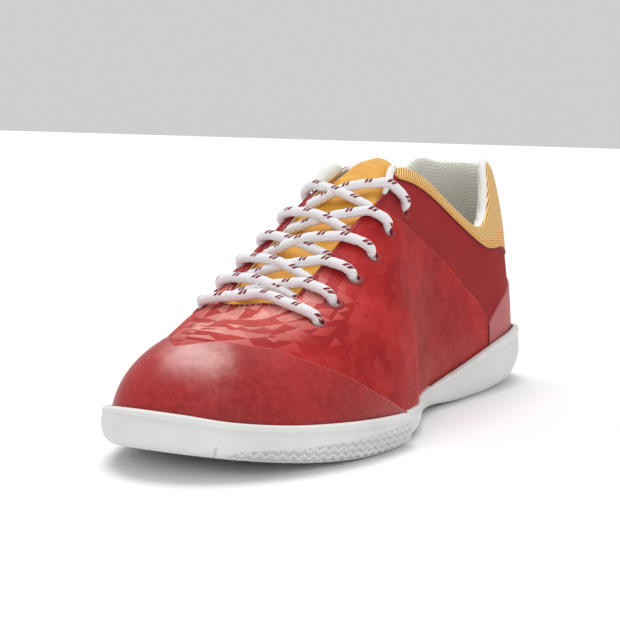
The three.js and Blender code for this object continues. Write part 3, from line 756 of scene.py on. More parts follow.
def make_collar_fronts(material, orange):
    """Soft knit rolls over the upper's top corners in front of the collar, slim on the lateral side."""
    for side, first, last, thick, lift in (("lateral", 7.02, 7.98, 1.35, 1.6), ("medial", 6.72, 7.6, 3.1, 2.4)):
        rows = np.linspace(first, last, 90)
        turn = rows if side == "lateral" else RING - rows
        edge = np.where(rows < COLLAR_ROW, upper_edge(turn), station(turn, "rim"))
        swell = np.sin(np.linspace(0, math.pi, 90)) ** 0.6
        line = soften(above(turn, np.minimum(edge + 0.004, 0.99), (swell * lift - 0.9) * MM), 5)
        radius = (0.35 + thick * swell) * MM
        roll = tube(f"collar_front_{side}", line, np.stack([radius, radius * 1.15], -1), material,
                    "lining_fabric", 20)
        roll.data.materials.append(orange)
        inner = np.isin(np.tile(np.arange(20), 89), (14, 15, 16, 17, 18)) & (side == "medial")
        roll.data.polygons.foreach_set("material_index", inner.astype(int))


def tube(name, path, radius, material, slot, sides=10, normal=None):
    """A round tube along close points."""
    path = np.asarray(path)
    along = unit(np.gradient(path, axis=0))
    if normal is None:
        normal = np.broadcast_to((0.0, 0.0, 1.0), path.shape)
    side = unit(np.cross(along, normal))
    up = np.cross(side, along)
    spin = np.linspace(0, 2 * math.pi, sides, endpoint=False)
    radius = np.broadcast_to(radius, (len(path), 2)) if np.ndim(radius) else np.full((len(path), 2), radius)
    ring = (path[:, None] + side[:, None] * (np.cos(spin)[:, None] * radius[:, None, :1])
            + up[:, None] * (np.sin(spin)[:, None] * radius[:, None, 1:]))
    points = np.concatenate([ring, ring[:, :1]], 1)
    run = arc_lengths(path, 0)
    uv = np.stack(np.broadcast_arrays(run[:, None] / MM, np.linspace(0, 1, sides + 1)), -1)
    piece = mesh_piece(name, points, grid_faces(len(path), sides + 1)[:, ::-1], uv)
    return finish_piece(piece, material, slot)


# Tongue: half widths on each side by row
TONGUE_WIDTHS = ((3.1, 0.2, 0.2), (3.5, 0.28, 0.3), (5, 0.31, 0.35), (6.8, 0.31, 0.28), (7.35, 0.3, 0.16),
                 (7.8, 0.3, 0.09), (7.95, 0.28, 0.05), (8.03, 0.24, 0.0), (8.05, 0.2, -0.03))


def make_tongue(face, lining):
    rows = 3.1 + (8.05 - 3.1) * np.sin(np.linspace(0, 1, 240) * math.pi / 2) ** 0.8
    table = np.array(TONGUE_WIDTHS)
    shares = np.sin(np.linspace(-1, 1, 81) * math.pi / 2)[:, None] * 1.0
    rows = rows[None]
    reach = np.where(shares >= 0, np.interp(rows, table[:, 0], table[:, 1]),
                     np.interp(rows, table[:, 0], table[:, 2])) * shares
    end = ease((8.05 - rows) / 0.35)
    crown = 1 - np.abs(shares) ** 6
    depth = UPPER_WALL + 0.75 * MM
    puff = 1.6 * MM * crown * (0.3 + 0.7 * end)
    show = 1 + 0 * rows
    sunk = sag(rows + 0 * reach, reach) * ease((7.7 - rows) / 0.8)
    top = across(rows, reach, -depth * show + puff - 0.6 * MM - sunk)
    low = across(rows, reach, -depth - 4.2 * MM * (0.45 + 0.55 * end) * (0.5 + 0.5 * crown) - sunk)
    points = np.concatenate([top, low[::-1], top[:1]])
    u = arc_lengths(points, 0)
    v = arc_lengths(top[40:41], 1)
    uv = np.stack(np.broadcast_arrays(u, v), -1) / MM
    faces = grid_faces(len(points), 240)
    piece = mesh_piece("tongue_pad", points, faces[:, ::-1], uv)
    finish_piece(piece, [face, lining], "tongue_fabric", "tongue")
    which = np.repeat((np.arange(len(points) - 1) > 81).astype(int), 239)
    piece.data.polygons.foreach_set("material_index", which)
    return piece


# The sole


WRAP_END = 5.25


def triangle(x):
    """Triangle wave from -1 to 1 with a period of 1."""
    return 4 * np.abs(x - np.floor(x + 0.5)) - 1


def wall_relief(turn, height, run, share):
    """How far the side wall stands proud, in millimetres: lip, zigzag, notches and the wrap's end."""
    lateral = (turn > 0) & (turn < HEEL_ROW)
    lip = 0.28 * bump_at(share, 0.96, 0.05) - 0.4 * bump_at(share, 0.84, 0.06)
    reach = np.clip((turn - 1.8) / (WRAP_END - 1.8), 0, 1)
    top = 0.17 + 0.6 * reach ** 0.75
    level = height / 2.75 + 0.3 * triangle(run / 4.6)
    teeth = ease((triangle(level) + 0.35) / 0.7)
    shown = ease((top - share) / 0.07) * ease((turn - 1.75) / 0.25) * ease((WRAP_END + 0.02 - turn) / 0.06)
    shown = shown * ease(height / 0.6)
    zigzag = (0.4 - 1.3 * teeth) * shown * lateral
    recess = -2.6 * ease((turn - WRAP_END) / 0.05) * ease((8.7 - turn) / 1.6) * lateral
    notch = np.zeros(np.broadcast(turn, height).shape)
    for where, tall in ((1.035, 2.6), (1.63, 4.4), (0.45, 1.6)):
        slant = where + 0.004 * height
        notch = notch - 1.4 * bump_at(turn, slant, 0.022) * ease((tall - height) / 0.8) * ease(height / 0.4)
    return lip + zigzag + recess + notch, np.maximum(teeth * shown * lateral, -notch)


def make_sole_wall(material):
    count = 1240
    even = np.linspace(0, RING, 8 * count + 1)
    length = arc_lengths(wall(even, 3.0), 0)
    weight = 1 + 3.6 * ease((even - 1.5) / 0.3) * ease((WRAP_END + 0.4 - even) / 0.3)
    spent = np.concatenate([[0], np.cumsum(np.diff(length) * weight[1:])])
    turn = np.interp(np.linspace(0, 1, count + 1)[:-1], spent / spent[-1], even)[:, None]
    level = np.concatenate([np.linspace(0, 4.9, 44), 5 + np.linspace(0, 2, 11)[1:]])[None]
    bare = wall(turn, level)
    run = np.interp(turn, even, length) / MM
    floor = ground(SOLE_LENGTH / 2 + SHIFT[1] - bare[..., 1])
    height = (bare[..., 2] - floor) / MM
    share = height / (station(turn, "wall") / MM - floor / MM)
    side = level <= 5.2
    proud, dent = wall_relief(turn, height, run, share)
    inner = np.where(side, 1, np.clip((7 - level) / 1.8, 0, 1)) * (proud + 0.0)
    keep = np.where(proud < -1.2, proud, inner)
    points = wall(turn, level, keep * MM)
    corner = ease((turn - WRAP_END + 0.16) / 0.16) * ease((WRAP_END + 0.09 - turn) / 0.06)
    points[..., 2] -= 1.5 * MM * corner * ease((share - 0.55) / 0.45)
    below = points[:, -1:] - np.array([0, 0, 1]) * np.linspace(0.5, 8, 6)[None, :, None] * MM
    points = np.concatenate([points, below], 1)
    uv = np.stack(np.broadcast_arrays(run, points[..., 2] / MM), -1)
    piece = mesh_piece("sole_wall", points, grid_faces(count, points.shape[1], closed=True), uv)
    low = np.concatenate([np.clip(share, 0, 1), np.ones((count, 6))], 1)
    dent = np.concatenate([dent, np.zeros((count, 6))], 1)
    tell(piece, share=low.ravel(), deep=dent.ravel())
    return finish_piece(piece, material, "sole_rubber", "outsole")


def groove(x, pitch, wide=0.42, soft=0.16):
    """Grooves of a pitch: 0 on the ribs and 1 in the grooves."""
    return ease((wide + soft - np.abs(x / pitch - np.floor(x / pitch) - 0.5) * 2) / (2 * soft))


def honeycomb(x, y, pitch):
    """Distance from the nearest edge of a honeycomb, as a share of its pitch."""
    rows = math.sqrt(3)

    def nearest(a, b):
        return a - np.round(a), b - np.round(b / rows) * rows

    a, b = x / pitch, y / pitch
    first = nearest(a, b)
    second = nearest(a - 0.5, b - rows / 2)
    nearer = np.hypot(*first) < np.hypot(*second)
    c, d = (np.where(nearer, f, g) for f, g in zip(first, second))
    c, d = np.abs(c), np.abs(d)
    return 0.5 - np.maximum(c, c * 0.5 + d * rows / 2)


def tread_relief(along, side, margin):
    """Depth of the tread's grooves in millimetres; margin is the distance from the tread's edge."""
    share, a, s = along / SOLE_LENGTH, along / MM, side / MM
    wavy = a + 0.9 * np.sin(s / 5.5) * ease((8 - margin / MM) / 6)
    ribs = 1.25 * groove(wavy, 4.6)
    border = ZONE_SIDE * BALL_WIDTH / MM + 4.0 * np.cos((share - 0.7) * 9)
    inside = ease((s - border - 1.5) / 1.2) * ease((share - 0.545) / 0.01) * ease((0.885 - share) / 0.012)
    lugs = 1.6 * groove(s + 1.5 * triangle(a / 7.0), 5.6)
    ridge = bump_at(s, border, 0.9) + bump_at(s, border - 3.2, 0.9)
    ends = bump_at(a, 0.545 * SOLE_LENGTH / MM, 1.0) + bump_at(a, 0.53 * SOLE_LENGTH / MM, 1.0)
    in_zone = ease((share - 0.545) / 0.01) * ease((0.885 - share) / 0.012)
    depth = ribs * (1 - inside) + lugs * inside
    guard = np.clip(ridge * in_zone + ends * ease((s - border) / 2), 0, 1)
    depth = depth * (1 - guard) + 0.9 * (bump_at(s, border - 1.6, 0.7) * in_zone)
    toe = ease((share - 0.9) / 0.012)
    depth = depth * (1 - toe)
    heel = ease((0.135 - share) / 0.008)
    cells = 0.9 * ease((0.1 - honeycomb(s, a, 8.0)) / 0.06)
    parting = 1.3 * bump_at(a, 0.14 * SOLE_LENGTH / MM, 1.1)
    depth = depth * (1 - heel) + cells * heel + parting
    arch = bump_at(share, 0.43, 0.05)
    return (depth * (1 - 0.55 * arch)) * ease((margin / MM - 2.6) / 1.0)


ZONE_SIDE = 0.02


def make_tread(material):
    edge = wall(np.linspace(0, RING, 4001), 0.0)
    top, bottom = edge[:, 1].argmin(), edge[:, 1].argmax()
    lateral, medial = edge[top:bottom + 1], np.concatenate([edge[bottom:], edge[:top + 1]])
    rows, columns = 470, 121
    ends = (1 - np.cos(np.linspace(0, math.pi, rows))) / 2
    share = 0.25 * ends + 0.75 * np.linspace(0, 1, rows)
    at = edge[top, 1] + (edge[bottom, 1] - edge[top, 1]) * share
    order = np.argsort(medial[:, 1])
    outer = np.interp(at, lateral[:, 1], lateral[:, 0])
    inner = np.interp(at, medial[order, 1], medial[order, 0])
    t = np.linspace(0, 1, columns)
    x = inner[:, None] + (outer - inner)[:, None] * t
    y = at[:, None] + 0 * x
    along = SOLE_LENGTH / 2 - (y - SHIFT[1])
    flat = np.stack([x, y], -1)
    margin = np.full(x.shape, 1.0)
    for part in np.array_split(edge[:-1:6, :2], 20):
        gap = np.linalg.norm(flat[:, :, None] - part, axis=-1).min(-1)
        margin = np.minimum(margin, gap)
    deep = tread_relief(along, x - SHIFT[0], margin)
    z = ground(along) + deep * MM
    points = np.stack([x, y, z], -1)
    piece = mesh_piece("tread", points, grid_faces(rows, columns), points[..., :2] / MM)
    tell(piece, deep=deep.ravel())
    return finish_piece(piece, material, "sole_rubber", "outsole")


def make_stitches(name, path, out, pitch, length, radius, material):
    """Short stitches that lie in a row along close points of a line."""
    run = arc_lengths(path, 0)
    ring = np.linspace(0, 2 * math.pi, 6, endpoint=False)
    profile = np.array([(-1, 0.15), (-0.75, 0.8), (0, 1), (0.75, 0.8), (1, 0.15)])
    points, faces = [], []
    for start in np.arange(pitch / 2, run[-1] - pitch / 2, pitch):
        def at(values):
            return np.array([np.interp(start, run, column) for column in values.T])

        middle, up = at(path), unit(at(out))
        ahead = unit(np.array([np.interp(start + pitch / 3, run, c) for c in path.T]) - middle)
        side = np.cross(up, ahead)
        spin = side * np.cos(ring)[:, None] + up * np.sin(ring)[:, None]
        body = (middle + ahead * (profile[:, :1] * length / 2))[:, None] + spin * (profile[:, 1:, None] * radius)
        faces.append(grid_faces(6, 5, closed=True) + len(points) * 30)
        points.append(np.swapaxes(body, 0, 1))
    piece = mesh_piece(name, points, np.concatenate(faces))
    return finish_piece(piece, material, "upper_fabric")


def throat_line(inset, lift):
    """Close points beside the throat's edge, up one side, round the bottom and up the other side."""
    rows = THROAT_ROW + 0.01 + (7.62 - THROAT_ROW) * np.linspace(0, 1, 300) ** 2
    rows = np.concatenate([rows[::-1], rows])
    turn = np.where(np.arange(600) < 300, rows, RING - rows)
    climb = upper_edge(turn)
    edge, out = form(turn, climb), outward(turn, np.minimum(climb, 0.99))
    run = unit(np.gradient(edge, axis=0))
    away = unit(np.cross(out, run))
    line = soften(edge + away * inset, 6)
    return line + out * lift, out


def make_footbed(material):
    turn = np.linspace(0, RING, 521)[:-1, None]
    share = np.linspace(0, 1, 24)
    along, side = outline(turn, LIP + UPPER_WALL + 0.6 * MM)
    row = row_of(turn)
    a = station(row, "ridge_along") + (along - station(row, "ridge_along")) * share
    b = station(row, "ridge_side") + (side - station(row, "ridge_side")) * share
    lift = FOOTBED + 4.3 * MM + 1.5 * MM * share**6
    points = place(a, b, ground(a) + lift)
    uv = np.stack(np.broadcast_arrays(a, b), -1) / MM
    piece = mesh_piece("footbed", points, grid_faces(520, 24, closed=True), uv)
    return finish_piece(piece, material, "lining_fabric", "insole")


# The lace


LACE_SAG = 3.4 * MM
LACE_SHIFT = {"lateral": -0.02, "medial": 0.034}


def sag(row, reach):
    """How far the tongue and the lace lie below the upper's form in the middle of the throat."""
    width = np.maximum(1 - upper_edge(np.where(reach >= 0, row, RING - row)), 0.05)
    within = np.clip(1 - (np.abs(reach) / width) ** 2, 0, 1)
    return LACE_SAG * within * ease((row - 3.7) / 0.5)


def edge_reach(row, side):
    """Reach of the throat's edge on a side at a row."""
    turn = row if side > 0 else RING - row
    return side * float(1 - upper_edge(np.array(turn)))


def lace_run(low, high, over_top):
    """Path of a lace from inside an eyelet, up from under the throat's edge and over to another eyelet."""
    half = LACE / 2
    side = 1 if high[1] > 0 else -1
    start = edge_reach(low[0] + 0.1 * (high[0] - low[0]), -side)
    finish = edge_reach(high[0] - 0.1 * (high[0] - low[0]), side)

    def row_at(reach):
        return low[0] + (high[0] - low[0]) * (reach - low[1]) / (high[1] - low[1])

    points = []
    for reach, lift in ((low[1], -3.6), (low[1] * 0.9 + start * 0.1, -3.9), (start, -3.3)):
        points.append(across(row_at(reach), reach, lift * MM))
    first = across(row_at(start * 0.93), start * 0.93, -2.2 * MM)
    last = across(row_at(finish), finish, half + 0.35 * MM)
    t = np.linspace(0, 1, 9)[1:-1, None]
    bow = (2.1 if over_top else 0.4) * np.sin(math.pi * t) ** 1.3 + 1.1 * np.sin(math.pi * t)
    points.append(first)
    points.extend(first + (last - first) * t + np.array([0, -0.35, 0.93]) * bow * MM)
    points.append(last)
    for share in (0.35, 0.7):
        reach = finish + (high[1] - finish) * share
        points.append(across(row_at(reach), reach, half + 0.3 * MM))
    points.append(across(high[0], high[1] * 0.985, half * 0.55))
    points.append(across(high[0], high[1], -1.2 * MM))
    points.append(across(high[0], high[1], -3.6 * MM))
    return [np.array(point, float).reshape(3) for point in points]


def lace_bar(first, second):
    half = LACE / 2
    rows = first[0], second[0]
    points = [across(rows[0], first[1], -3.6 * MM), across(rows[0], first[1], -1.2 * MM)]
    points.append(across(rows[0], first[1] * 0.985, half * 0.55))
    for t in np.linspace(0.08, 0.92, 9):
        row, reach = rows[0] + (rows[1] - rows[0]) * t, first[1] + (second[1] - first[1]) * t
        row -= 0.3 * math.sin(math.pi * t) ** 0.7
        points.append(across(row, reach, half + 0.4 * MM + 0.3 * MM * math.sin(math.pi * t)))
    points.append(across(rows[1], second[1] * 0.985, half * 0.55))
    points.extend([across(rows[1], second[1], -1.2 * MM), across(rows[1], second[1], -3.6 * MM)])
    return [np.array(point, float).reshape(3) for point in points]


def make_lace(material):
    """One lace, from its hidden end under the top medial eyelet down to the bar and up again."""
    spots = {"lateral": [(row, 1 - climb + LACE_SHIFT["lateral"]) for row, climb, _, _ in EYELETS],
             "medial": [(row, climb - 1 + LACE_SHIFT["medial"]) for _, _, row, climb in EYELETS]}
    on_top = {1: "medial", 2: "medial", 3: "lateral", 4: "medial", 5: "lateral"}
    halves = []
    for begin in ("lateral", "medial"):
        side, points = begin, []
        for k in range(1, 6):
            other = "medial" if side == "lateral" else "lateral"
            points += lace_run(spots[side][k - 1], spots[other][k], on_top[k] == other)
            side = other
        halves.append(points)
    down = halves[0][::-1]
    bar = lace_bar(spots["lateral"][0], spots["medial"][0])
    knots = np.array(down + bar[1:-1] + halves[1])
    keep = np.concatenate([[True], np.linalg.norm(np.diff(knots, axis=0), axis=1) > 0.2 * MM])
    knots = knots[keep]
    dense = through(knots, np.linspace(0, len(knots) - 1, 12 * len(knots)))
    run = arc_lengths(dense, 0)
    even = np.arange(0, run[-1], 0.6 * MM)
    line = soften(np.stack([np.interp(even, run, column) for column in dense.T], -1), 1.6)
    along = unit(np.gradient(line, axis=0))
    throat = unit(np.broadcast_to(np.array([0.0, 0.82, 0.57]), line.shape))
    side = unit(throat - (throat * along).sum(-1, keepdims=True) * along)
    ripple = 1 + 0.025 * np.sin(even / MM * 1.9) + 0.02 * np.sin(even / MM * 0.83)
    size = np.stack([1.03 * ripple, 0.95 * ripple], -1) * LACE / 2
    return tube("lace", line, size, material, "lace_cord", 18, np.cross(along, side))


def soften(values, sigma):
    """Rounds a row of values off over about so many steps."""
    reach = int(4 * sigma)
    weight = np.exp(-0.5 * (np.arange(-reach, reach + 1) / sigma) ** 2)
    weight /= weight.sum()
    padded = np.concatenate([np.repeat(values[:1], reach, 0), values, np.repeat(values[-1:], reach, 0)])
    return np.stack([np.convolve(column, weight, "valid") for column in padded.T], -1)


# Materials


def simple(name, colour, roughness, grain=900.0, depth=0.1, dark=0.85):
    """A plain material with a fine grain."""
    f = Finish(name)
    fine = f.noise(f.spot(grain))
    broad = f.noise(f.spot(60.0))
    tone = f.mix(broad, tuple(c * dark for c in colour[:3]) + (1,), colour)
    return f.done(tone, 0.1 * fine + roughness, f.bumped(fine, depth * MM, 0.6))


def facets(f, place_, size, angle, seed):
    """Random tone of flat triangles of a size in millimetres, and a fade across each of them."""
    wander = []
    for shift in (0.0, 37.0):
        spot = f.node("ShaderNodeVectorMath", {"operation": "MULTIPLY_ADD"},
                      (place_, (0.035, 0.035, 0), (seed + shift, seed, 0)))
        wander.append((f.noise(spot, 0.0, 0.4, "2D") - 0.5) * (1.1 * size))
    parts = f.node("ShaderNodeSeparateXYZ", inputs=(place_,))
    x, y = parts + wander[0], f.second(parts) * 0.75 + wander[1]
    c, d = math.cos(angle), math.sin(angle)
    along, aside = x * c - y * d, x * d + y * c
    i, j = (along - aside * 0.577) / size, aside * (1.155 / size)
    half = f.math_("GREATER_THAN", i.fraction() + j.fraction(), 1.0)
    key = f.vector(i.whole(), j.whole(), half + seed)
    tone = f.node("ShaderNodeTexWhiteNoise", {"noise_dimensions": "3D"}, {"Vector": key})
    return tone, (i.fraction() + j.fraction()) * 0.5


def red_upper():
    """Printed red synthetic of the middle and finer, darker textile behind the quarter line."""
    f = Finish("red_synthetic")
    place_ = f.node("ShaderNodeUVMap", {"uv_map": "Print"})
    large, fade = facets(f, place_, 9.0, 0.35, 3.1)
    middle, slope = facets(f, place_, 6.5, 1.3, 8.3)
    small, edge = facets(f, place_, 4.8, 2.2, 5.7)
    deep, _ = facets(f, place_, 7.5, 0.9, 12.4)
    first = large.between(0.7, 0.71) * (0.25 + 0.5 * fade)
    second = middle.between(0.77, 0.78) * (0.7 - 0.45 * slope)
    third = small.between(0.84, 0.85) * (0.5 + 0.4 * edge)
    light = first.most(second).most(third)
    dark = deep.between(0.62, 0.64) * (1 - light)
    amount = f.point_value("print")
    painted_sheen = f.point_value("painted_sheen")
    broad = f.noise(f.spot(45.0), 3.0, 0.6)
    base = f.mix(broad.between(0.35, 0.65), paint(154, 28, 32), paint(178, 38, 38))
    # A pale sheen is painted on the vamp's upper part, over the red and the print's pale facets
    base = f.mix(painted_sheen * (0.2 + 0.6 * broad), base, paint(208, 100, 92))
    shaded = f.mix(dark * amount * 0.2, base, paint(150, 26, 28))
    pale = f.mix(painted_sheen, paint(200, 70, 64), paint(240, 180, 170))
    printed = f.mix((light * amount).least(0.85), shaded, pale)
    streak = f.noise(f.node("ShaderNodeVectorMath", {"operation": "MULTIPLY"}, (place_, (0.14, 0.5, 0))), 3.0, 0.65)
    rub = f.point_value("rub")
    rubbed = f.mix((rub * (streak + 0.25)).between(0.1, 0.75) * 0.6, printed, paint(208, 124, 116))
    behind = f.point_value("quarter")
    cloth = f.noise(f.spot(380.0), 2.0, 0.6)
    weave_place = f.node("ShaderNodeUVMap", {"uv_map": "Surface"})
    parts = f.node("ShaderNodeSeparateXYZ", inputs=(weave_place,))
    warp = (parts * 1.45).wave()
    weft = (f.second(parts) * 1.45 + (parts * 1.45).whole() * 0.5).wave()
    weave = warp * weft
    textile = f.mix(cloth * 0.5 + broad * 0.5, paint(132, 26, 31), paint(170, 50, 52))
    # The weave's threads are painted paler on their tops: a painted highlight
    textile = f.mix(weave * 0.3, textile, paint(186, 74, 74))
    rear = behind.between(-0.15, 0.15)
    colour = f.mix(rear, rubbed, textile)
    # Quarter line: a dark line, stitching and painted shade at the step; ahead of it a painted highlight on the
    # panel's edge
    line = (behind + 0.35).size().between(0.5, 0.1) * 0.55
    colour = f.mix(line, colour, paint(96, 12, 20))
    glow = (behind + 1.0).size().between(0.45, 0.1) * 0.16
    colour = f.mix(glow, colour, paint(222, 120, 112))
    grain = f.noise(f.spot(1500.0), 2.0, 0.6)
    height = f.mix_value(rear, grain * 0.5, weave)
    rough = f.mix_value(rear, 0.5 + 0.12 * broad - 0.08 * light * amount, 0.74 + 0.1 * cloth)
    return f.done(colour, rough, f.bumped(height, 0.12 * MM, 0.55), Specular_Ior_Level=0.12)


def red_film():
    """Smooth satin toe cap film, cloudy, with pale highlights painted on its front and along its edge."""
    f = Finish("red_film")
    cloud = f.noise(f.spot(55.0), 5.0, 0.68)
    fine = f.noise(f.spot(420.0), 2.0, 0.6)
    crest = f.point_value("crest")
    base = f.mix(cloud.between(0.3, 0.7), paint(146, 20, 22), paint(170, 31, 32))
    base = f.mix(fine.between(0.35, 0.75) * 0.3, base, paint(196, 66, 64))
    # A cloudy pale highlight is painted on the toe cap's front
    shine = f.mix((crest * (0.1 + 1.5 * cloud)).between(0.2, 0.95) * 0.72, base, paint(232, 184, 178))
    # A pale line painted along the film's top edge: a painted highlight
    edge = f.point_value("edge").between(0.8, 0.1) * 0.3
    colour = f.mix(edge, shine, paint(200, 92, 86))
    return f.done(colour, 0.3 + 0.16 * cloud + 0.05 * fine, f.bumped(fine, 0.05 * MM, 0.5), Coat_Weight=0.08,
                  Coat_Roughness=0.35, Specular_Ior_Level=0.35)


def heel_film():
    """Pinkish ribbed weave of the heel patch."""
    f = Finish("heel_film")
    u, v = f.surface()
    rib = (u * 0.95 + v * 0.12).wave()
    cross = (v * 1.3).wave()
    broad = f.noise(f.spot(80.0), 3.0)
    base = f.mix(broad, paint(166, 62, 66), paint(196, 104, 102))
    # The rib crests are painted paler: a painted sheen on the ribs
    colour = f.mix(rib.between(0.55, 0.95) * 0.5, base, paint(222, 150, 146))
    return f.done(colour, 0.5 + 0.15 * broad, f.bumped(rib * 0.8 + cross * 0.2, 0.22 * MM, 0.7))


def orange_ribs():
    """Ribbed band of the collar, smooth along its lower edge."""
    f = Finish("orange_ribs")
    u, v = f.surface()
    rib = (f.point_value("rib") * 0.95).wave()
    fuzz = f.noise(f.spot(900.0), 2.0, 0.7)
    broad = f.noise(f.spot(70.0), 2.0)
    smooth_ = f.point_value("level").between(1.9, 1.6)
    lines = (v * 0.8).wave()
    ribs = f.mix_value(smooth_, rib, lines)
    # Ribs and the lines along the lower edge are dark in their hollows and pale on their crests: yarn tones plus
    # painted shade and highlight
    deep = f.mix(broad, paint(176, 98, 8), paint(198, 118, 18))
    bright = f.mix(fuzz, paint(255, 200, 84), paint(255, 236, 170))
    colour = f.mix(ribs.between(0.28, 0.62), deep, bright)
    colour = f.mix(smooth_ * 0.5, colour, paint(236, 152, 36))
    return f.done(colour, 0.62 + 0.15 * fuzz, f.bumped(ribs * 0.85 + fuzz * 0.15, 0.4 * MM, 0.8),
                  Sheen_Weight=0.15, Sheen_Roughness=0.5)


def orange_satin():
    """Thin satin cloth of the tongue with soft wrinkles."""
    f = Finish("orange_satin")
    u, v = f.surface()
    stretched = f.vector(u * 0.035, v * 0.11)
    fold = f.noise(stretched, 2.0, 0.5)
    thread = ((u + v) * 1.6).wave() * ((u - v) * 1.6).wave()
    broad = f.noise(f.spot(70.0), 2.0)
    # The colour follows the wrinkles, paler on their crests and darker in their troughs: painted highlight and shade
    base = f.mix((fold * 0.6 + broad * 0.4).between(0.3, 0.7), paint(222, 148, 24), paint(246, 188, 54))
    colour = f.mix(thread * 0.25, base, paint(252, 206, 110))
    height = fold * 0.93 + thread * 0.07
    return f.done(colour, 0.42 + 0.15 * broad, f.bumped(height, 2.2 * MM, 0.7), Sheen_Weight=0.2,
                  Sheen_Roughness=0.4)


def knit(name, light, shade, pitch=0.52, depth=0.55):
    """Off-white spacer mesh with rows of small dimples."""
    f = Finish(name)
    u, v = f.surface()
    row = (v * pitch * 1.15).whole()
    a = (u * pitch + row * 0.5).fraction() - 0.5
    b = (v * pitch * 1.15).fraction() - 0.5
    hole = (a * a * 1.8 + b * b * 0.9).between(0.015, 0.09)
    fuzz = f.noise(f.spot(1100.0), 2.0, 0.7)
    # The dimples are painted in the shade colour: painted shade in the holes
    colour = f.mix(hole, shade, light)
    colour = f.mix(fuzz * 0.3, colour, paint(236, 236, 226))
    return f.done(colour, 0.82 + 0.12 * fuzz, f.bumped(hole * 0.9 + fuzz * 0.15, depth * MM, 0.8),
                  Sheen_Weight=0.25, Sheen_Roughness=0.6)


def rubber(name, light, shade, limits, hollows):
    """White rubber: satin, a little grey and faintly scuffed all over."""
    f = Finish(name)
    cloud = f.noise(f.spot(26.0), 3.0, 0.6)
    fine = f.noise(f.spot(1300.0), 2.0, 0.6)
    scuff = f.noise(f.node("ShaderNodeVectorMath", {"operation": "MULTIPLY"}, (f.spot(1.0), (90, 90, 500))), 3.0, 0.7)
    colour = f.mix(cloud.between(0.25, 0.75), shade, light)
    colour = f.mix(scuff.between(0.62, 0.8) * 0.35, colour, paint(196, 196, 190))
    # Grooves and notches are painted towards the hollows colour by their depth: painted shade in the recesses
    colour = f.mix(f.point_value("deep").between(*limits) * 0.5, colour, hollows)
    return f.done(colour, 0.5 + 0.15 * cloud + 0.1 * scuff.between(0.6, 0.8), f.bumped(fine, 0.05 * MM, 0.5))


def braid():
    """White round lace with pairs of dark red flecks."""
    f = Finish("lace_braid")
    u, v = f.surface()
    around = v * 2
    cell = (around.whole() * 0.5 + u * 0.105).fraction() - 0.5
    a = cell * 9.5
    b = (around.fraction() - 0.5) * 6.2
    shear = a - b * 0.6
    wobble = f.noise(f.spot(1600.0), 2.0, 0.7) - 0.5
    stroke = ((shear.size() - 0.82).size() + wobble * 0.35).between(0.68, 0.56)
    long = (b.size() + wobble * 0.35).between(1.2, 1.05)
    fleck = stroke * long
    braid_ = ((u * 0.9 + v * 6).wave() * (u * 0.9 - v * 6).wave()).between(0.05, 0.5)
    fuzz = f.noise(f.spot(2200.0), 2.0, 0.75)
    white = f.mix(fuzz, paint(240, 237, 241), paint(255, 253, 255))
    # The hollows between the braid's strands are painted greyer: painted shade
    white = f.mix(braid_.between(0.5, 0.0) * 0.25, white, paint(204, 198, 205))
    colour = f.mix(fleck, white, paint(122, 18, 34))
    return f.done(colour, 0.9, f.bumped(braid_ * 0.7 + fuzz * 0.3, 0.3 * MM, 0.8), Sheen_Weight=0.3,
                  Sheen_Roughness=0.5)


RED = red_upper()
RED_FILM = red_film()
HEEL_FILM = heel_film()
RED_EDGE = simple("red_edge", paint(150, 30, 38), 0.5)
RED_THREAD = simple("red_thread", paint(122, 16, 28), 0.7)
ORANGE = orange_ribs()
ORANGE_SATIN = orange_satin()
WHITE_TRIM = simple("white_trim", paint(242, 240, 235), 0.8, 1200.0, 0.25, 0.9)
KNIT = knit("lining_knit", paint(240, 238, 228), paint(150, 140, 116), 0.5, 0.4)
RUBBER = rubber("white_rubber", paint(228, 229, 227), paint(212, 214, 212), (0.3, 0.95), paint(206, 209, 207))
TREAD_RUBBER = rubber("tread_rubber", paint(226, 228, 225), paint(208, 211, 208), (0.2, 1.2), paint(168, 171, 168))
LACE_WHITE = braid()

make_upper(RED, KNIT, RED_EDGE)
make_eyelets(RED_EDGE)
SEAM_END = 5.38
make_film("toe_cap", RING - SEAM_END, RING + SEAM_END, SEAM_LINE, 380, 0.55 * MM, RED_FILM, "toe_panel")
make_film("heel_panel", PATCH_EDGE[0][0], RING - PATCH_EDGE[0][0], PATCH_LINE, 240, 0.5 * MM, HEEL_FILM,
          "heel_patch")
make_collar(ORANGE, WHITE_TRIM, KNIT)
make_piping(RED_THREAD)
make_collar_fronts(WHITE_TRIM, ORANGE_SATIN)
stitch_path, stitch_out = throat_line(1.3 * MM, 0.05 * MM)
make_stitches("throat_stitches", stitch_path, stitch_out, 2.2 * MM, 1.5 * MM, 0.3 * MM, RED_THREAD)
make_tongue(ORANGE_SATIN, KNIT)
make_sole_wall(RUBBER)
make_tread(TREAD_RUBBER)
make_footbed(KNIT)
lace = make_lace(LACE_WHITE)
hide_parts("lace_bar", *(f"lace_crossing_{k}" for k in range(1, 6)))

# Floor, camera and light

CAMERA_AZIMUTH, CAMERA_HEIGHT, CAMERA_ROLL, CAMERA_TURN = 26.119, 7.521, 1.38, 1.446
CAMERA_DISTANCE, CAMERA_TARGET, CAMERA_LENS = 0.64004, 0.045, 86.03


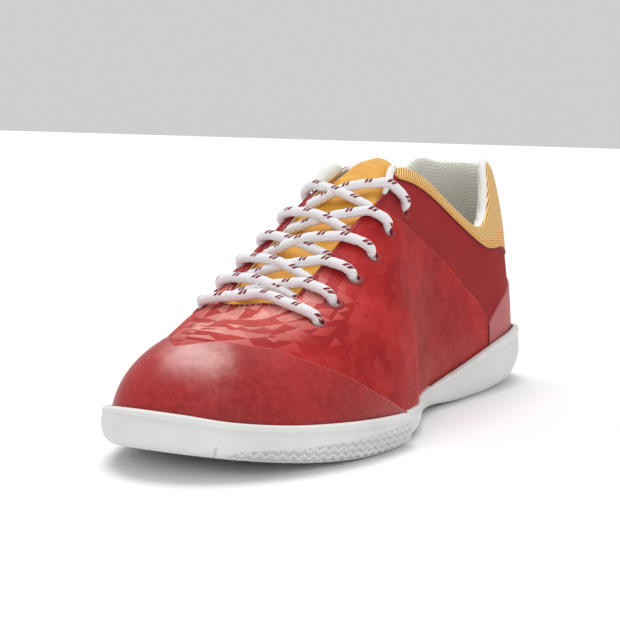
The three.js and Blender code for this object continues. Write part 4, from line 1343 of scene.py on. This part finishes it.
def make_camera():
    a, e, roll, aside = map(math.radians, (CAMERA_AZIMUTH, CAMERA_HEIGHT, CAMERA_ROLL, CAMERA_TURN))
    back = np.array([math.sin(a) * math.cos(e), -math.cos(a) * math.cos(e), math.sin(e)])
    right = np.array([math.cos(a), math.sin(a), 0.0])
    up = np.cross(back, right)
    x = right * math.cos(roll) + up * math.sin(roll)
    y = -right * math.sin(roll) + up * math.cos(roll)
    turned_back = back * math.cos(aside) + x * math.sin(aside)
    turned_x = x * math.cos(aside) - back * math.sin(aside)
    camera = bpy.data.cameras.new("camera")
    camera.lens = CAMERA_LENS
    camera.sensor_width = 36
    holder = bpy.data.objects.new("camera", camera)
    bpy.context.scene.collection.objects.link(holder)
    matrix = Matrix(np.column_stack([turned_x, y, turned_back]).tolist()).to_4x4()
    matrix.translation = Vector(back * CAMERA_DISTANCE + np.array([0, 0, CAMERA_TARGET]))
    holder.matrix_world = matrix
    bpy.context.scene.camera = holder


def make_light(name, kind, where, width, power):
    """A far soft lamp that shines from a place towards the shoe; its width is an angle in degrees."""
    light = bpy.data.lights.new(name, kind)
    light.angle = math.radians(width)
    light.energy = power
    holder = bpy.data.objects.new(name, light)
    bpy.context.scene.collection.objects.link(holder)
    holder.location = where
    holder.rotation_euler = (Vector((0, 0, 0.04)) - Vector(where)).to_track_quat("-Z", "Y").to_euler()


def make_floor():
    half = 6.0
    corners = [(-half, -half, 0), (half, -half, 0), (half, half, 0), (-half, half, 0)]
    floor = mesh_piece("floor", corners, [(0, 1, 2, 3)])
    floor.data.materials.append(simple("floor_paper", paint(245, 245, 245), 0.8, 300.0, 0.02, 0.98))
    floor.location.z = -0.0002


def make_world():
    world = bpy.data.worlds.new("studio")
    world.use_nodes = True
    world.node_tree.nodes["Background"].inputs[0].default_value = (1, 1, 1, 1)
    world.node_tree.nodes["Background"].inputs[1].default_value = 0.62
    bpy.context.scene.world = world


make_camera()
make_floor()
make_world()
make_light("key", "SUN", (-0.25, 0.1, 1.2), 34, 1.75)
make_light("fill", "SUN", (1.2, -1.2, 0.9), 60, 0.3)
bpy.context.scene.view_settings.view_transform = "Standard"
